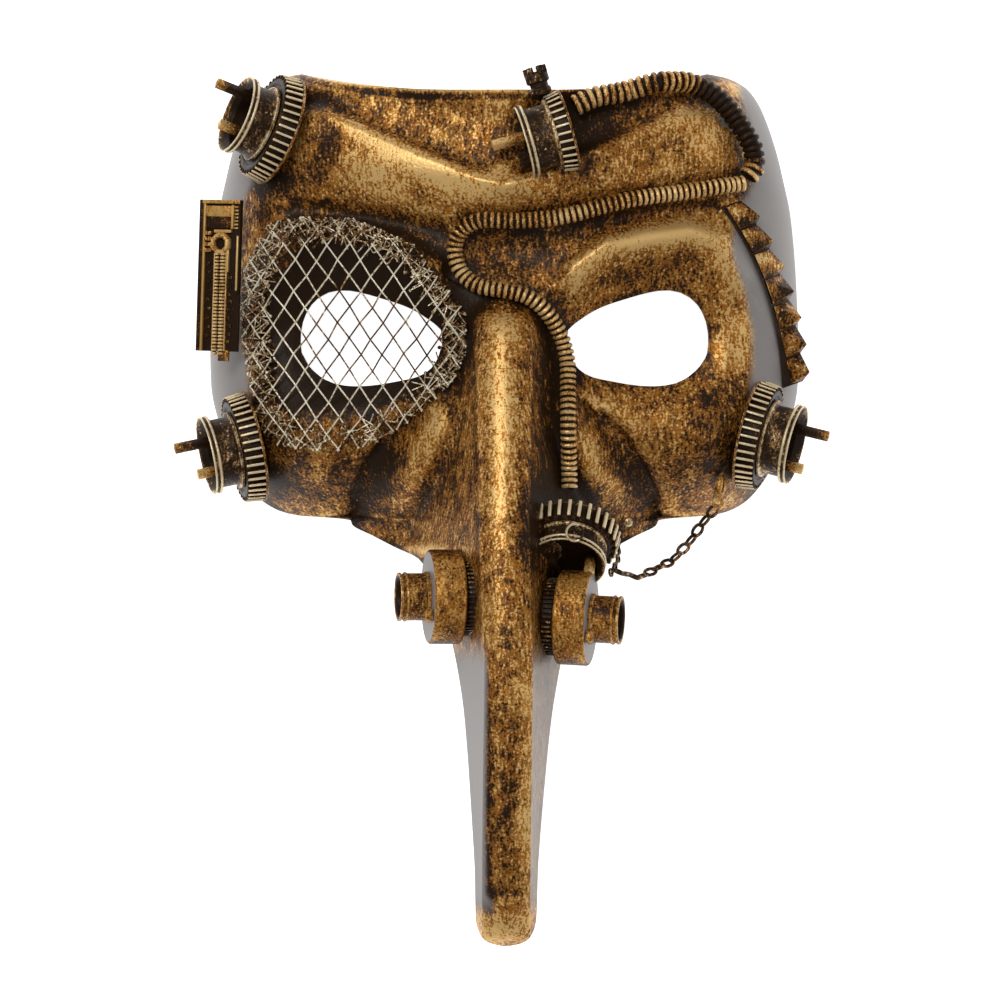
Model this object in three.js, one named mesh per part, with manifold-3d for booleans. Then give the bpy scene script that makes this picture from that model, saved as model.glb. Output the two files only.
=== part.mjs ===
// Long-nosed carnival half mask of moulded plastic with clockwork trimmings, lying face up.
// Sizes are millimetres. X runs across the face, Y up it and Z out of it. While it is modelled,
// X = 0 is the middle of the face, Y = 0 the line of the eyes and Z = 0 the surface it lies on.

import * as THREE from "three";
import { mergeVertices } from "three/addons/utils/BufferGeometryUtils.js";
import Module from "manifold-3d";

const wasm = await Module();
wasm.setup();

const GAP = 0.3; // left between pieces that touch
const WALL = 2; // thickness of the moulded shell
const THINNEST_WALL = 1.4; // least thickness behind its creases
const TABLE_SINK = 10; // how far cutting shapes reach below the table

// Half the mask's width at each height up the face, from the top rim to the tip of the nose.
const HALF_WIDTH = [
  [74, 61], [73, 69.2], [69.2, 75.7], [62, 80.5], [52, 84.5], [38, 87.6], [19, 89.2], [-4, 90],
  [-13, 89.7], [-30, 85.5], [-40, 80.5], [-47.7, 74.4], [-50.7, 69.7], [-52.6, 63.2], [-53.2, 55],
  [-53.8, 46.7], [-55.5, 46], [-58.8, 39.7], [-62.1, 33.3], [-65.7, 25.8], [-76, 19.5], [-93.4, 14.6],
  [-109.7, 11.8], [-138, 9.8], [-154, 8.9], [-173.4, 8.5], [-177.1, 5.9], [-179.7, 0.9],
];
// The side walls run on below the cheeks as an oval, and the cheeks' lower edge cuts across it.
const WALL_HALF_WIDTH = [
  [74, 61], [73, 69.2], [69.2, 75.7], [62, 80.5], [52, 84.5], [38, 87.6], [19, 89.2], [-4, 90],
  [-13, 89.7], [-30, 85.5], [-40, 81], [-48, 76], [-56, 68], [-64, 57], [-72, 42], [-80, 22],
];
const WALL_ROUNDING = 28; // how far in from the edge the side wall turns into the face
const WALL_HEIGHT = 46; // depth of the side wall at the temples
const CHEEK_WALL_DROP = 14; // how much lower it is under the cheeks
const CROWN = 13; // how far the middle of the face stands above the temples
const CORNER_LIFT = 7.2; // how far the top rim rises towards its corners
const CORNER_AT = 61; // half the width between those corners
const LIFT_FADES_AT = 45;

// Crest of the nose and its open back edge, as heights above the table.
const NOSE_CREST = [
  [16, 46], [10, 58], [4, 66], [-10, 71], [-45, 81], [-80, 88], [-110, 90.5], [-145, 87], [-163, 82.5],
  [-172, 79], [-177, 76], [-179.7, 71],
];
const NOSE_BACK = [[-60, 40], [-76, 46], [-93, 52], [-110, 59], [-138, 67], [-154, 69.5], [-180, 70]];
const NOSE_HALF_WIDTH = [[16, 10], [4, 9], [-40, 7.2], [-173, 7.1], [-180, 7]];
const NOSE_ROUNDING = 8.2; // radius of the crest in section
const NOSE_FLANK = 2.1; // steepness of the flanks on the face
const NOSE_BLEND = 6;

// Swellings and hollows, mirrored left and right: centre, half-sizes, turn in degrees and height.
const SWELLINGS = [
  { what: "knot between the brows", at: [0, 48.5], size: [6, 4.5], turn: 0, height: 3 },
  { what: "hollow at the root of the nose", at: [0, 27], size: [17, 11], turn: 0, height: -7 },
  { what: "eye socket", at: [41, 1], size: [27, 17], turn: 3, height: -9 },
  { what: "brow swelling", at: [42, 49], size: [24, 8], turn: 14, height: 4.5 },
  { what: "hollow over the brow", at: [20, 68], size: [20, 6], turn: 15, height: -2.5 },
  { what: "cheek", at: [58, -33], size: [15, 13], turn: -20, height: 5.5 },
  { what: "wing of the nose", at: [25, -40], size: [7.5, 17], turn: 25, height: 6 },
];
// Creases and crests along a path: height, and the width of the slope on the upper and lower side.
const CREASES = [
  {
    what: "brow crest", height: 4.5, upper: 2.6, lower: 9,
    path: [[4, 45.7], [16, 50.5], [30, 56.1], [42, 60.6], [53, 63.3], [62, 61]],
  },
  {
    what: "upper lid", height: 4, upper: 3, lower: 7,
    path: [[21, 21], [31, 28.1], [43.4, 31.1], [55.4, 32.5], [65, 29], [71, 19]],
  },
  {
    what: "crease beside the nose", height: -4.5, upper: 4, lower: 4,
    path: [[29, -23], [34.6, -27.9], [41.2, -38.1], [45.1, -46.2], [46.5, -56]],
  },
  { what: "groove under the brow", height: -3, upper: 3, lower: 3, path: [[20, 33], [40, 37], [62, 39.5]] },
];
const RELIEF_FADES_OVER = 12; // relief dies away towards the cut side edges

const EYE_HOLE = [
  [18.6, 2], [23, 6.1], [29, 9.6], [36.8, 12.3], [43.7, 14.2], [48.8, 14.8], [53.3, 13.9], [57.5, 10.9],
  [60.2, 6.1], [61.1, 0.7], [60.5, -4.8], [57.5, -9], [53, -12.3], [47.3, -13.8], [40.4, -13.8],
  [32.3, -12.6], [25.4, -11], [21.3, -8], [19.2, -3.5],
];

// The moulding's mesh: columns as shares of the half width, and rows from the rim to the nose tip.
const COLUMN_SHARES = [0, 0.045, 0.09, 0.15, 0.23, 0.32, 0.42, 0.52, 0.62, 0.72, 0.81, 0.89, 0.955, 1];
const ROWS = [
  74, 73.2, 70.5, 65, 60.5, 56, 51.5, 47, 42.5, 38, 33.5, 29, 23, 16, 9, 2, -5, -12, -19, -26, -33, -39,
  -44.5, -49.3, -52.2, -53.8, -56, -60, -65.7, -76, -86, -100, -116, -136, -154, -166, -173.4, -177.5,
  -179.7,
];
const LAST_HOLLOW_ROW = -166; // inside the nose the hollow ends here
const HOLLOW_END = -173.4;

const NET = { cell: [8, 11.4], wire: 1.3, thickness: 1.1, stand: 1.2, bulge: 9, centre: [-44, 3] };
const NET_OUTLINE = [
  [-70, 33], [-60, 36], [-45, 34], [-33, 30], [-24, 25], [-18, 14], [-15, 7], [-15, -4], [-19, -12],
  [-27, -19], [-37, -26], [-46, -31], [-62, -31], [-67, -26], [-74, -8], [-76, 10], [-75, 24],
];

const THICK_HOSE_ROUTE = [
  [21.5, 69.5], [27, 72], [34.2, 73.3], [41, 75.3], [47.1, 76.6], [53, 76.8], [60, 74.6], [66, 70],
  [71.4, 62.8], [74.6, 56.6], [75, 52], [73.4, 49.4],
];
const THIN_HOSE_ROUTE = [
  [71, 46.6], [64.2, 45.6], [52, 43.6], [39, 41.7], [28, 39], [17.9, 36.3], [9, 35.2], [1.9, 34.9],
  [-6, 35.2], [-11, 33.7], [-14, 30.5], [-14.9, 26.5], [-13.8, 21.5], [-10.8, 17.5], [-6.6, 15.3],
  [-0.8, 14.4], [5.5, 12.9], [10.8, 9.6], [14.8, 4.6], [17.6, -1.5], [18.8, -8], [18.9, -16],
  [18.9, -26], [19.2, -36.8], [19.3, -44],
];
const HOSE_SIDES = 8;
const HOSES = [
  { name: "upper_hose", radius: 3.2, route: THICK_HOSE_ROUTE, steps: 16 },
  { name: "lower_hose", radius: 2.5, route: THIN_HOSE_ROUTE, steps: 30 },
];
const HOSE_STAND = 1; // how far a hose's underside stands off the skin

// Gear units. "heading" is the axis in the plane of the face, from +X towards +Y, "rise" how far it
// leans out of that plane, "at" the centre of the wheel's back face and "pins" their offsets.
const SIDE_WHEEL = { radius: 16.7, depth: 6, teeth: 22, tooth: 1.6 };
const NOSE_WHEEL = { radius: 15, depth: 6, teeth: 22, tooth: 1.5 };
const BROW_WHEEL = { radius: 12.2, depth: 4.8, teeth: 18, tooth: 1.3 };
const GEAR_UNITS = {
  temple_left: {
    wheel: SIDE_WHEEL, cup: 12, depth: 8.6, at: [-67.2, 62.4, 43], heading: 163, rise: 20,
    pins: [-6.4, 4.6],
  },
  cheek_left: {
    wheel: SIDE_WHEEL, cup: 12, depth: 8.6, at: [-75.4, -31.7, 33], heading: 192, rise: 12,
    pins: [-4.6, 5],
  },
  cheek_right: {
    wheel: SIDE_WHEEL, cup: 12.2, depth: 8.6, at: [73.6, -28, 33], heading: -14, rise: 13,
    pins: [4.8, -6],
  },
  brow: {
    wheel: BROW_WHEEL, cup: 11, depth: 7.6, at: [19.2, 61.8, 63], heading: 196, rise: 4,
    pins: [-1.6, 6],
  },
  nose: {
    wheel: NOSE_WHEEL, cup: 11.7, depth: 7, at: [19.7, -56.9, 62], heading: 262, rise: 40,
    pins: [7.4, -4.4],
  },
};
const CUP = { floor: 2, wall: 1.7, waist: 0.83, lip: 2.4, flare: 0.7, segments: 12 };
const PIN = { radius: 1.7, longReach: 9, shortReach: 3.8, sides: 4 };
const TOOTH_SHARE = 0.52; // of the pitch

const KNOB = { at: [8.8, 76.4, 66], radius: 3.6, height: 8.4, turn: 12, sides: 6 };
const EYELET = { at: [21.7, -56.4, 78.6], radius: 2.8, bore: 1.6, height: 2.6, sides: 10 };

// Drum units beside the nose.
const DRUM = { radius: 14, length: 9.5, groove: 0.9, nozzle: 7, bore: 5, reach: 13.5, sides: 16 };
const COLLAR = { radius: 11.5, length: 3.4, ribs: 8 };
const DRUM_UNITS = {
  left: { at: [-9.6, -76.6, 68], heading: 180, rise: 10, turn: 1 },
  right: { at: [12.6, -82.4, 68], heading: -3, rise: 10, turn: -1 },
};
const BOLT = { radius: 2, height: 2.4, sides: 6, turns: [60, -60], inFromRim: 3.4 };

const PLATE = {
  at: [-84, 18.8, 39.6], width: 13.6, length: 46, thickness: 2.2, rim: 1.8, lean: 27, turn: 1.5,
};
const PLATE_WINDOW = { width: 8, length: 6.4, thickness: 1, at: [1, 17.6] };
const PLATE_ROD = { radius: 1.3, length: 27.6, sides: 6, at: [0.6, -6.9] };
const PLATE_KNOB = { radius: 2.9, foot: 3.3, height: 2.6, sides: 8, at: [0.8, 10.4] };

const SPIKES = {
  count: 7, width: 7, height: 4.4, base: 1.6, sink: 1.5, lowest: 24, from: [69.4, 41], to: [87.5, -12.5],
  bow: 4, tip: [0.62, 1.6],
};

const CLASP = { at: [64.6, -44.9, 38], lean: 10.3, length: 11.5, width: 5.6, wire: 1.3, segments: 5 };
const CHAIN = { wire: 0.5, linkLength: 4.2, linkWidth: 3, pitch: 3.2, sides: 3, corners: 4 };
const CHAIN_ROUTE = [
  [63, -52.4, 37], [58.5, -57, 37.5], [55.5, -60.6, 38.5], [52.5, -63.8, 40], [48.5, -67.6, 42.5],
  [44.1, -70.4, 46], [40.1, -71.6, 50], [36.6, -71.2, 54.5], [33.8, -69.6, 58.5],
];
const RIVET = { at: [37.2, -54.6], radius: 1.6, height: 1.4, sides: 8 }; // beside the chain's end

const goldPaint = (name, colour, roughness = 0.45) =>
  new THREE.MeshStandardMaterial({ name, color: colour, roughness, metalness: 0.55 });
const SHELL_PAINT = goldPaint("moulding_gold", 0x9a6a2a);
const WHEEL_PAINT = goldPaint("wheel_gold", 0x8a6a34);
const CUP_PAINT = goldPaint("cup_bronze", 0x5c3d1c, 0.5);
const PIN_PAINT = goldPaint("pin_gold", 0xb8863a, 0.4);
const HOSE_PAINT = goldPaint("hose_brass", 0x8f7442, 0.5);
const NET_PAINT = goldPaint("net_brass", 0xb09a6a, 0.4);
const PLATE_PAINT = goldPaint("plate_gold", 0xa5793a);
const SPIKE_PAINT = goldPaint("spike_gold", 0x96682c);
const CHAIN_PAINT = goldPaint("chain_bronze", 0x6a5230, 0.4);

const clamp = THREE.MathUtils.clamp;
const radians = THREE.MathUtils.degToRad;
const ease = (t) => THREE.MathUtils.smoothstep(t, 0, 1);

// A smooth curve through a table of [where, value] rows that never overshoots them.
function curveThrough(rows) {
  const table = [...rows].sort((a, b) => a[0] - b[0]);
  const slope = (i) => (table[i + 1][1] - table[i][1]) / (table[i + 1][0] - table[i][0]);
  const tangent = (i) => {
    if (i === 0 || i === table.length - 1) return slope(i === 0 ? 0 : i - 1);
    const [before, after] = [slope(i - 1), slope(i)];
    return before * after <= 0 ? 0 : (2 * before * after) / (before + after);
  };
  const tangents = table.map((_, i) => tangent(i));
  return (where) => {
    const w = clamp(where, table[0][0], table[table.length - 1][0]);
    let i = 0;
    while (i < table.length - 2 && w > table[i + 1][0]) i += 1;
    const span = table[i + 1][0] - table[i][0];
    const t = (w - table[i][0]) / span;
    const [t2, t3] = [t * t, t * t * t];
    return (
      (2 * t3 - 3 * t2 + 1) * table[i][1] + (t3 - 2 * t2 + t) * span * tangents[i] +
      (3 * t2 - 2 * t3) * table[i + 1][1] + (t3 - t2) * span * tangents[i + 1]
    );
  };
}

const halfWidth = curveThrough(HALF_WIDTH);
const wallHalfWidth = curveThrough(WALL_HALF_WIDTH);
const noseCrest = curveThrough(NOSE_CREST);
const noseBack = curveThrough(NOSE_BACK);
const noseHalfWidth = curveThrough(NOSE_HALF_WIDTH);

function swelling({ at, size, turn, height }, a, y) {
  const [c, s] = [Math.cos(radians(turn)), Math.sin(radians(turn))];
  const [dx, dy] = [a - at[0], y - at[1]];
  const u = (dx * c + dy * s) / size[0];
  const v = (dy * c - dx * s) / size[1];
  return height * Math.exp(-(u * u + v * v));
}

// Height of a crease at a point: the nearest stretch of its path counts, and its ends die away.
function crease({ path, height, upper, lower }, a, y) {
  let best = { distance: Infinity };
  for (let i = 0; i < path.length - 1; i += 1) {
    const [x0, y0] = path[i];
    const [dx, dy] = [path[i + 1][0] - x0, path[i + 1][1] - y0];
    const t = ((a - x0) * dx + (y - y0) * dy) / (dx * dx + dy * dy);
    const held = clamp(t, 0, 1);
    const [ox, oy] = [a - x0 - held * dx, y - y0 - held * dy];
    const distance = Math.hypot(ox, oy);
    if (distance < best.distance) best = { distance, above: dx * oy - dy * ox > 0 };
  }
  const width = best.above ? upper : lower;
  return height * Math.exp(-((best.distance / width) ** 2));
}

// The face without its relief: a crowned plate whose sides turn down to the cut edge.
function plainFace(a, y) {
  const inFromEdge = Math.max(0, wallHalfWidth(y) - a);
  const q = clamp(1 - inFromEdge / WALL_ROUNDING, 0, 1);
  const underCheeks = ease((-20 - y) / 35);
  const wall = (WALL_HEIGHT - CHEEK_WALL_DROP * underCheeks) * Math.sqrt(1 - q * q);
  const crown = CROWN * (1 - ease(a / 66));
  const chin = -11 * ease((-40 - y) / 28) * ease(a / 30);
  return wall + crown + chin;
}

function reliefedFace(a, y) {
  const fade = ease((wallHalfWidth(y) - a) / RELIEF_FADES_OVER);
  let relief = 0;
  for (const each of SWELLINGS) relief += swelling(each, a, y);
  for (const each of CREASES) relief += crease(each, a, y);
  return plainFace(a, y) + fade * relief;
}

// The nose: a rounded crest, then flanks that fall to its back edge, or on the face at a set slope.
function nose(a, y) {
  const r = noseHalfWidth(y);
  const drop = (reach) => NOSE_ROUNDING + 2 - Math.sqrt((NOSE_ROUNDING + 2) ** 2 - reach * reach);
  if (a <= r) return noseCrest(y) - drop(a);
  const shoulder = noseCrest(y) - drop(r);
  const free = (shoulder - noseBack(y)) / Math.max(halfWidth(y) - r, 0.8);
  const slope = THREE.MathUtils.lerp(NOSE_FLANK, free, ease((-58 - y) / 14));
  return shoulder - (a - r) * slope;
}

// Height of the moulding's outer skin on a row of its mesh.
function heightOnRow(x, y) {
  const a = Math.abs(x);
  const ridge = nose(a, y);
  if (y < -80) return ridge;
  const face = reliefedFace(a, y) - 30 * ease((-64 - y) / 16);
  const h = Math.max(NOSE_BLEND - Math.abs(face - ridge), 0) / NOSE_BLEND;
  return Math.max(face, ridge) + (h * h * NOSE_BLEND) / 4;
}

// The rows bend up towards the corners of the top rim.
function rowLift(x, row) {
  const outwards = Math.min(1, Math.abs(x) / CORNER_AT) ** 3;
  return CORNER_LIFT * outwards * ease((row - LIFT_FADES_AT) / (ROWS[0] - LIFT_FADES_AT));
}

// Height of the skin over any point of the table under the mask.
function skin(x, y) {
  let row = y;
  for (let i = 0; i < 4; i += 1) row = y - rowLift(x, row);
  return heightOnRow(x, Math.min(row, ROWS[0]));
}

// A point of the skin by column share (-1 to 1) and row.
function skinPoint(share, row) {
  const x = share * halfWidth(row);
  return new THREE.Vector3(x, row + rowLift(x, row), heightOnRow(x, row));
}

function skinNormal(share, row) {
  const [du, dv] = [0.004, 0.15];
  const [u0, u1] = [Math.max(-1, share - du), Math.min(1, share + du)];
  const [v0, v1] = [Math.max(-179.6, row - dv), Math.min(74, row + dv)];
  const across = skinPoint(u1, row).sub(skinPoint(u0, row));
  const along = skinPoint(share, v1).sub(skinPoint(share, v0));
  return across.cross(along).normalize();
}

const MIRRORED_SHARES = [...COLUMN_SHARES.slice(1).map((s) => -s).reverse(), ...COLUMN_SHARES];

// Points of the skin moved along its normal by an offset: a grid of rows by columns.
function skinGrid(offset, shares, rows) {
  return rows.map((row) =>
    shares.map((share) => {
      const point = skinPoint(share, row).addScaledVector(skinNormal(share, row), offset);
      point.z = Math.max(point.z, 0);
      return point;
    }),
  );
}

// Collects triangles that share points, and gives back a closed geometry.
class Facets {
  constructor() {
    this.positions = [];
  }
  triangle(a, b, c) {
    for (const p of [a, b, c]) this.positions.push(p.x, p.y, p.z);
  }
  quad(a, b, c, d, otherDiagonal = false) {
    if (otherDiagonal) {
      this.triangle(a, b, d);
      this.triangle(b, c, d);
      return;
    }
    this.triangle(a, b, c);
    this.triangle(a, c, d);
  }
  // A grid of points seen from its outer side, rows running away and columns to the right. Each
  // square is split along the diagonal that is shorter on the pattern grid.
  sheet(grid, pattern, flip = false) {
    for (let i = 0; i < grid.length - 1; i += 1) {
      for (let j = 0; j < grid[0].length - 1; j += 1) {
        const [a, b, c, d] = [grid[i][j], grid[i + 1][j], grid[i + 1][j + 1], grid[i][j + 1]];
        const down = pattern[i][j].distanceTo(pattern[i + 1][j + 1]);
        const up = pattern[i + 1][j].distanceTo(pattern[i][j + 1]);
        if (flip) this.quad(d, c, b, a, up > down);
        else this.quad(a, b, c, d, up < down);
      }
    }
  }
  // Joins two edge lines of different point counts, matching them by their share of the way along.
  seam(first, second) {
    let [i, j] = [0, 0];
    while (i < first.length - 1 || j < second.length - 1) {
      const nextFirst = (i + 1) / (first.length - 1);
      const nextSecond = (j + 1) / (second.length - 1);
      if (j === second.length - 1 || (i < first.length - 1 && nextFirst <= nextSecond + 1e-9)) {
        this.triangle(first[i], first[i + 1], second[j]);
        i += 1;
      } else {
        this.triangle(first[i], second[j + 1], second[j]);
        j += 1;
      }
    }
  }
  geometry() {
    const made = new THREE.BufferGeometry();
    made.setAttribute("position", new THREE.Float32BufferAttribute(this.positions, 3));
    return made;
  }
}

function toSolid(geometry) {
  const bare = (geometry.index ? geometry.toNonIndexed() : geometry.clone());
  bare.deleteAttribute("normal");
  bare.deleteAttribute("uv");
  const merged = mergeVertices(bare, 1e-4);
  return new wasm.Manifold(
    new wasm.Mesh({
      numProp: 3,
      vertProperties: merged.attributes.position.array,
      triVerts: new Uint32Array(merged.index.array),
    }),
  );
}

function toGeometry(solid) {
  const { vertProperties, triVerts } = solid.getMesh();
  const made = new THREE.BufferGeometry();
  made.setAttribute("position", new THREE.BufferAttribute(new Float32Array(vertProperties), 3));
  made.setIndex([...triVerts]);
  const flat = made.toNonIndexed();
  flat.computeVertexNormals();
  return flat;
}

const everyOther = (list) => list.filter((_, i) => i % 2 === 0);
const columnOf = (grid, j) => grid.map((row) => row[j]);

// Lowers the corners of the coarse inner skin wherever it comes too near the outer skin above it.
function keptClear(inner) {
  const samples = [0.1, 0.5, 0.9];
  for (let i = 0; i < inner.length - 1; i += 1) {
    for (let j = 0; j < inner[0].length - 1; j += 1) {
      const corners = [inner[i][j], inner[i][j + 1], inner[i + 1][j], inner[i + 1][j + 1]];
      for (const [u, v] of samples.flatMap((u) => samples.map((v) => [u, v]))) {
        const shares = [(1 - u) * (1 - v), u * (1 - v), (1 - u) * v, u * v];
        const near = new THREE.Vector3();
        corners.forEach((corner, k) => near.addScaledVector(corner, shares[k]));
        const lack = THINNEST_WALL / uprightness(near.x, near.y) - skin(near.x, near.y) + near.z;
        const spread = shares.reduce((sum, share) => sum + share * share, 0);
        for (const [k, corner] of corners.entries()) {
          corner.z = Math.max(corner.z - (Math.max(lack, 0) * shares[k]) / spread, 0);
        }
      }
    }
  }
}

// The moulded shell: outer skin, inner skin offset inwards, and the cut edge between them.
function shellSolid() {
  const outer = skinGrid(0, MIRRORED_SHARES, ROWS);
  const innerShares = everyOther(MIRRORED_SHARES);
  const innerRows = [...everyOther(ROWS).filter((row) => row > LAST_HOLLOW_ROW), LAST_HOLLOW_ROW];
  const inner = skinGrid(-WALL, innerShares, innerRows);
  inner.forEach((row, i) => row.forEach((p) => {
    p.y = Math.min(p.y, skinPoint(0, innerRows[i]).y + CORNER_LIFT);
  }));
  inner[0].forEach((p, j) => {
    p.y = skinPoint(innerShares[j], ROWS[0]).y;
  });
  keptClear(inner);
  const reach = halfWidth(HOLLOW_END) - WALL;
  inner.push(innerShares.map((s) => new THREE.Vector3(s * reach, HOLLOW_END, noseBack(HOLLOW_END))));
  const facets = new Facets();
  facets.sheet(outer, outer);
  facets.sheet(inner, inner, true);
  const [lastColumn, lastInner] = [outer[0].length - 1, inner[0].length - 1];
  facets.seam(columnOf(inner, 0), columnOf(outer, 0));
  facets.seam(columnOf(outer, lastColumn), columnOf(inner, lastInner));
  facets.seam(outer[0], inner[0]);
  facets.seam(inner[inner.length - 1], outer[outer.length - 1]);
  let solid = toSolid(facets.geometry());
  for (const side of [-1, 1]) solid = solid.subtract(toSolid(eyeHolePrism(side)));
  return solid;
}

function eyeHolePrism(side) {
  const outline = new THREE.Shape(EYE_HOLE.map(([x, y]) => new THREE.Vector2(side * x, y)));
  return new THREE.ExtrudeGeometry(outline, { depth: WALL_HEIGHT * 2, bevelEnabled: false });
}

// Everything under the skin, swelled by the gap: trimmings are cut by it where they meet the face.
function bodySolid() {
  const top = skinGrid(GAP, MIRRORED_SHARES, ROWS);
  const bottom = top.map((row) => row.map((p) => new THREE.Vector3(p.x, p.y, -TABLE_SINK)));
  const facets = new Facets();
  facets.sheet(top, skinGrid(0, MIRRORED_SHARES, ROWS));
  facets.sheet(bottom, bottom, true);
  const last = top[0].length - 1;
  facets.seam(columnOf(bottom, 0), columnOf(top, 0));
  facets.seam(columnOf(top, last), columnOf(bottom, last));
  facets.seam(top[0], bottom[0]);
  facets.seam(bottom[bottom.length - 1], top[top.length - 1]);
  return toSolid(facets.geometry());
}

const mask = new THREE.Group();
const body = bodySolid();

function addMesh(parent, name, geometry, material) {
  const mesh = new THREE.Mesh(geometry, material);
  mesh.name = name;
  parent.add(mesh);
  return mesh;
}

const largestBody = (solid) =>
  solid.decompose().reduce((most, each) => (each.volume() > most.volume() ? each : most));

// Cuts away what lies under the skin, or inside another cutter, from a piece in a placed group.
function trimmed(geometry, group, cutters = [body]) {
  group.updateWorldMatrix(true, false);
  let solid = toSolid(geometry.clone().applyMatrix4(group.matrixWorld));
  for (const cutter of cutters) solid = solid.subtract(cutter);
  return toGeometry(largestBody(solid)).applyMatrix4(group.matrixWorld.clone().invert());
}

// A group whose +Z is an axis with a heading in the face's plane and a rise out of it.
function axisGroup([x, y, z], heading, rise) {
  const group = new THREE.Group();
  const [h, r] = [radians(heading), radians(rise)];
  const axis = new THREE.Vector3(Math.cos(h) * Math.cos(r), Math.sin(h) * Math.cos(r), Math.sin(r));
  const side = new THREE.Vector3(0, 0, 1).cross(axis).normalize();
  const up = axis.clone().cross(side);
  group.matrix.makeBasis(side, up, axis);
  group.quaternion.setFromRotationMatrix(group.matrix);
  group.position.set(x, y, z);
  mask.add(group);
  return group;
}

// A turned piece from its profile of [radius, along] rows, standing on +Z.
function turned(profile, segments) {
  const points = profile.map(([r, z]) => new THREE.Vector2(r, z));
  return new THREE.LatheGeometry(points, segments).rotateX(Math.PI / 2);
}

function toothedWheel({ radius, depth, teeth, tooth }) {
  const outline = new THREE.Shape();
  const pitch = (2 * Math.PI) / teeth;
  for (let i = 0; i < teeth; i += 1) {
    const land = (pitch * TOOTH_SHARE) / 2;
    const root = radius - tooth;
    const corners = [[-land, radius], [land, radius], [land * 1.1, root], [pitch - land * 1.1, root]];
    corners.forEach(([turn, r], k) => {
      const [x, y] = [r * Math.cos(i * pitch + turn), r * Math.sin(i * pitch + turn)];
      if (i === 0 && k === 0) outline.moveTo(x, y);
      else outline.lineTo(x, y);
    });
  }
  outline.closePath();
  return new THREE.ExtrudeGeometry(outline, { depth, bevelEnabled: false });
}

// Cup standing on the wheel: waisted barrel, double lip and a round hollow.
function cup(radius, depth) {
  const { floor, wall, waist, lip, flare, segments } = CUP;
  const inside = radius - wall;
  return turned(
    [
      [0, 0], [radius, 0], [radius * waist, wall], [radius * waist, depth - lip - flare],
      [radius, depth - lip], [radius, depth], [inside, depth], [inside - flare, floor], [0, floor],
    ],
    segments,
  );
}

function pin(reach, depth) {
  const long = depth - CUP.floor - GAP + reach;
  return new THREE.CylinderGeometry(PIN.radius, PIN.radius, long, PIN.sides)
    .rotateX(Math.PI / 2)
    .translate(0, 0, CUP.floor + GAP + long / 2);
}

// A drum's outer shape swelled by the gap: the nose gear is cut by the drum below it.
function drumClearance({ at, heading, rise }) {
  const group = axisGroup(at, heading, rise);
  group.updateWorldMatrix(true, false);
  const long = COLLAR.length + DRUM.length + 3 * GAP;
  const outer = DRUM.radius + GAP;
  const shape = turned([[0, -GAP], [outer, -GAP], [outer, long], [0, long]], DRUM.sides);
  return toSolid(shape.applyMatrix4(group.matrixWorld));
}

function addGearUnit(name, { wheel, cup: cupRadius, depth, at, heading, rise, pins }) {
  const cutters = [body, drumClearance(DRUM_UNITS.right)];
  const group = axisGroup(at, heading, rise);
  addMesh(group, `${name}_wheel`, trimmed(toothedWheel(wheel), group, cutters), WHEEL_PAINT);
  const front = new THREE.Group();
  front.position.z = wheel.depth + GAP;
  group.add(front);
  addMesh(front, `${name}_cup`, trimmed(cup(cupRadius, depth), front, cutters), CUP_PAINT);
  const reaches = [PIN.longReach, PIN.shortReach];
  pins.forEach((offset, i) => {
    const seat = new THREE.Group();
    seat.position.set(offset, 0, 0);
    front.add(seat);
    addMesh(seat, `${name}_pin_${i + 1}`, trimmed(pin(reaches[i], depth), seat, cutters), PIN_PAINT);
  });
}

function tube(points, radius, steps) {
  const path = new THREE.CatmullRomCurve3(points, false, "centripetal");
  const section = new THREE.Shape();
  for (let i = 0; i < HOSE_SIDES; i += 1) {
    const turn = ((i + 0.5) / HOSE_SIDES) * 2 * Math.PI;
    const [x, y] = [radius * Math.cos(turn), radius * Math.sin(turn)];
    if (i === 0) section.moveTo(x, y);
    else section.lineTo(x, y);
  }
  section.closePath();
  return new THREE.ExtrudeGeometry(section, { steps, extrudePath: path, bevelEnabled: false });
}

// How far the skin leans at a point: 1 where it is level, less on a slope.
function uprightness(x, y) {
  const step = 0.5;
  const across = (skin(x + step, y) - skin(x - step, y)) / (2 * step);
  const along = (skin(x, y + step) - skin(x, y - step)) / (2 * step);
  return Math.max(1 / Math.hypot(1, across, along), 0.5);
}

// A route laid on the skin: each point's height lets a round hose of this radius rest on it.
function laidOnSkin(route, radius) {
  const lift = (x, y) => radius / uprightness(x, y) + HOSE_STAND;
  return route.map(([x, y]) => new THREE.Vector3(x, y, skin(x, y) + lift(x, y)));
}

// The eye net: a sheet of diamonds with a diamond hole in each, bulging over the eye.
function netHeight(x, y) {
  const [cx, cy] = NET.centre;
  const out = Math.hypot((x - cx) / 34, (y - cy) / 36);
  const dome = plainFace(Math.abs(x), y) - 3 + NET.bulge * Math.max(0, 1 - out * out);
  return Math.max(skin(x, y) + NET.stand / uprightness(x, y), dome);
}

function insideOutline(x, y, outline) {
  let inside = false;
  outline.forEach(([x1, y1], i) => {
    const [x0, y0] = outline[(i + outline.length - 1) % outline.length];
    if (y1 > y !== y0 > y && x < ((x0 - x1) * (y - y1)) / (y0 - y1) + x1) inside = !inside;
  });
  return inside;
}

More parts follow.
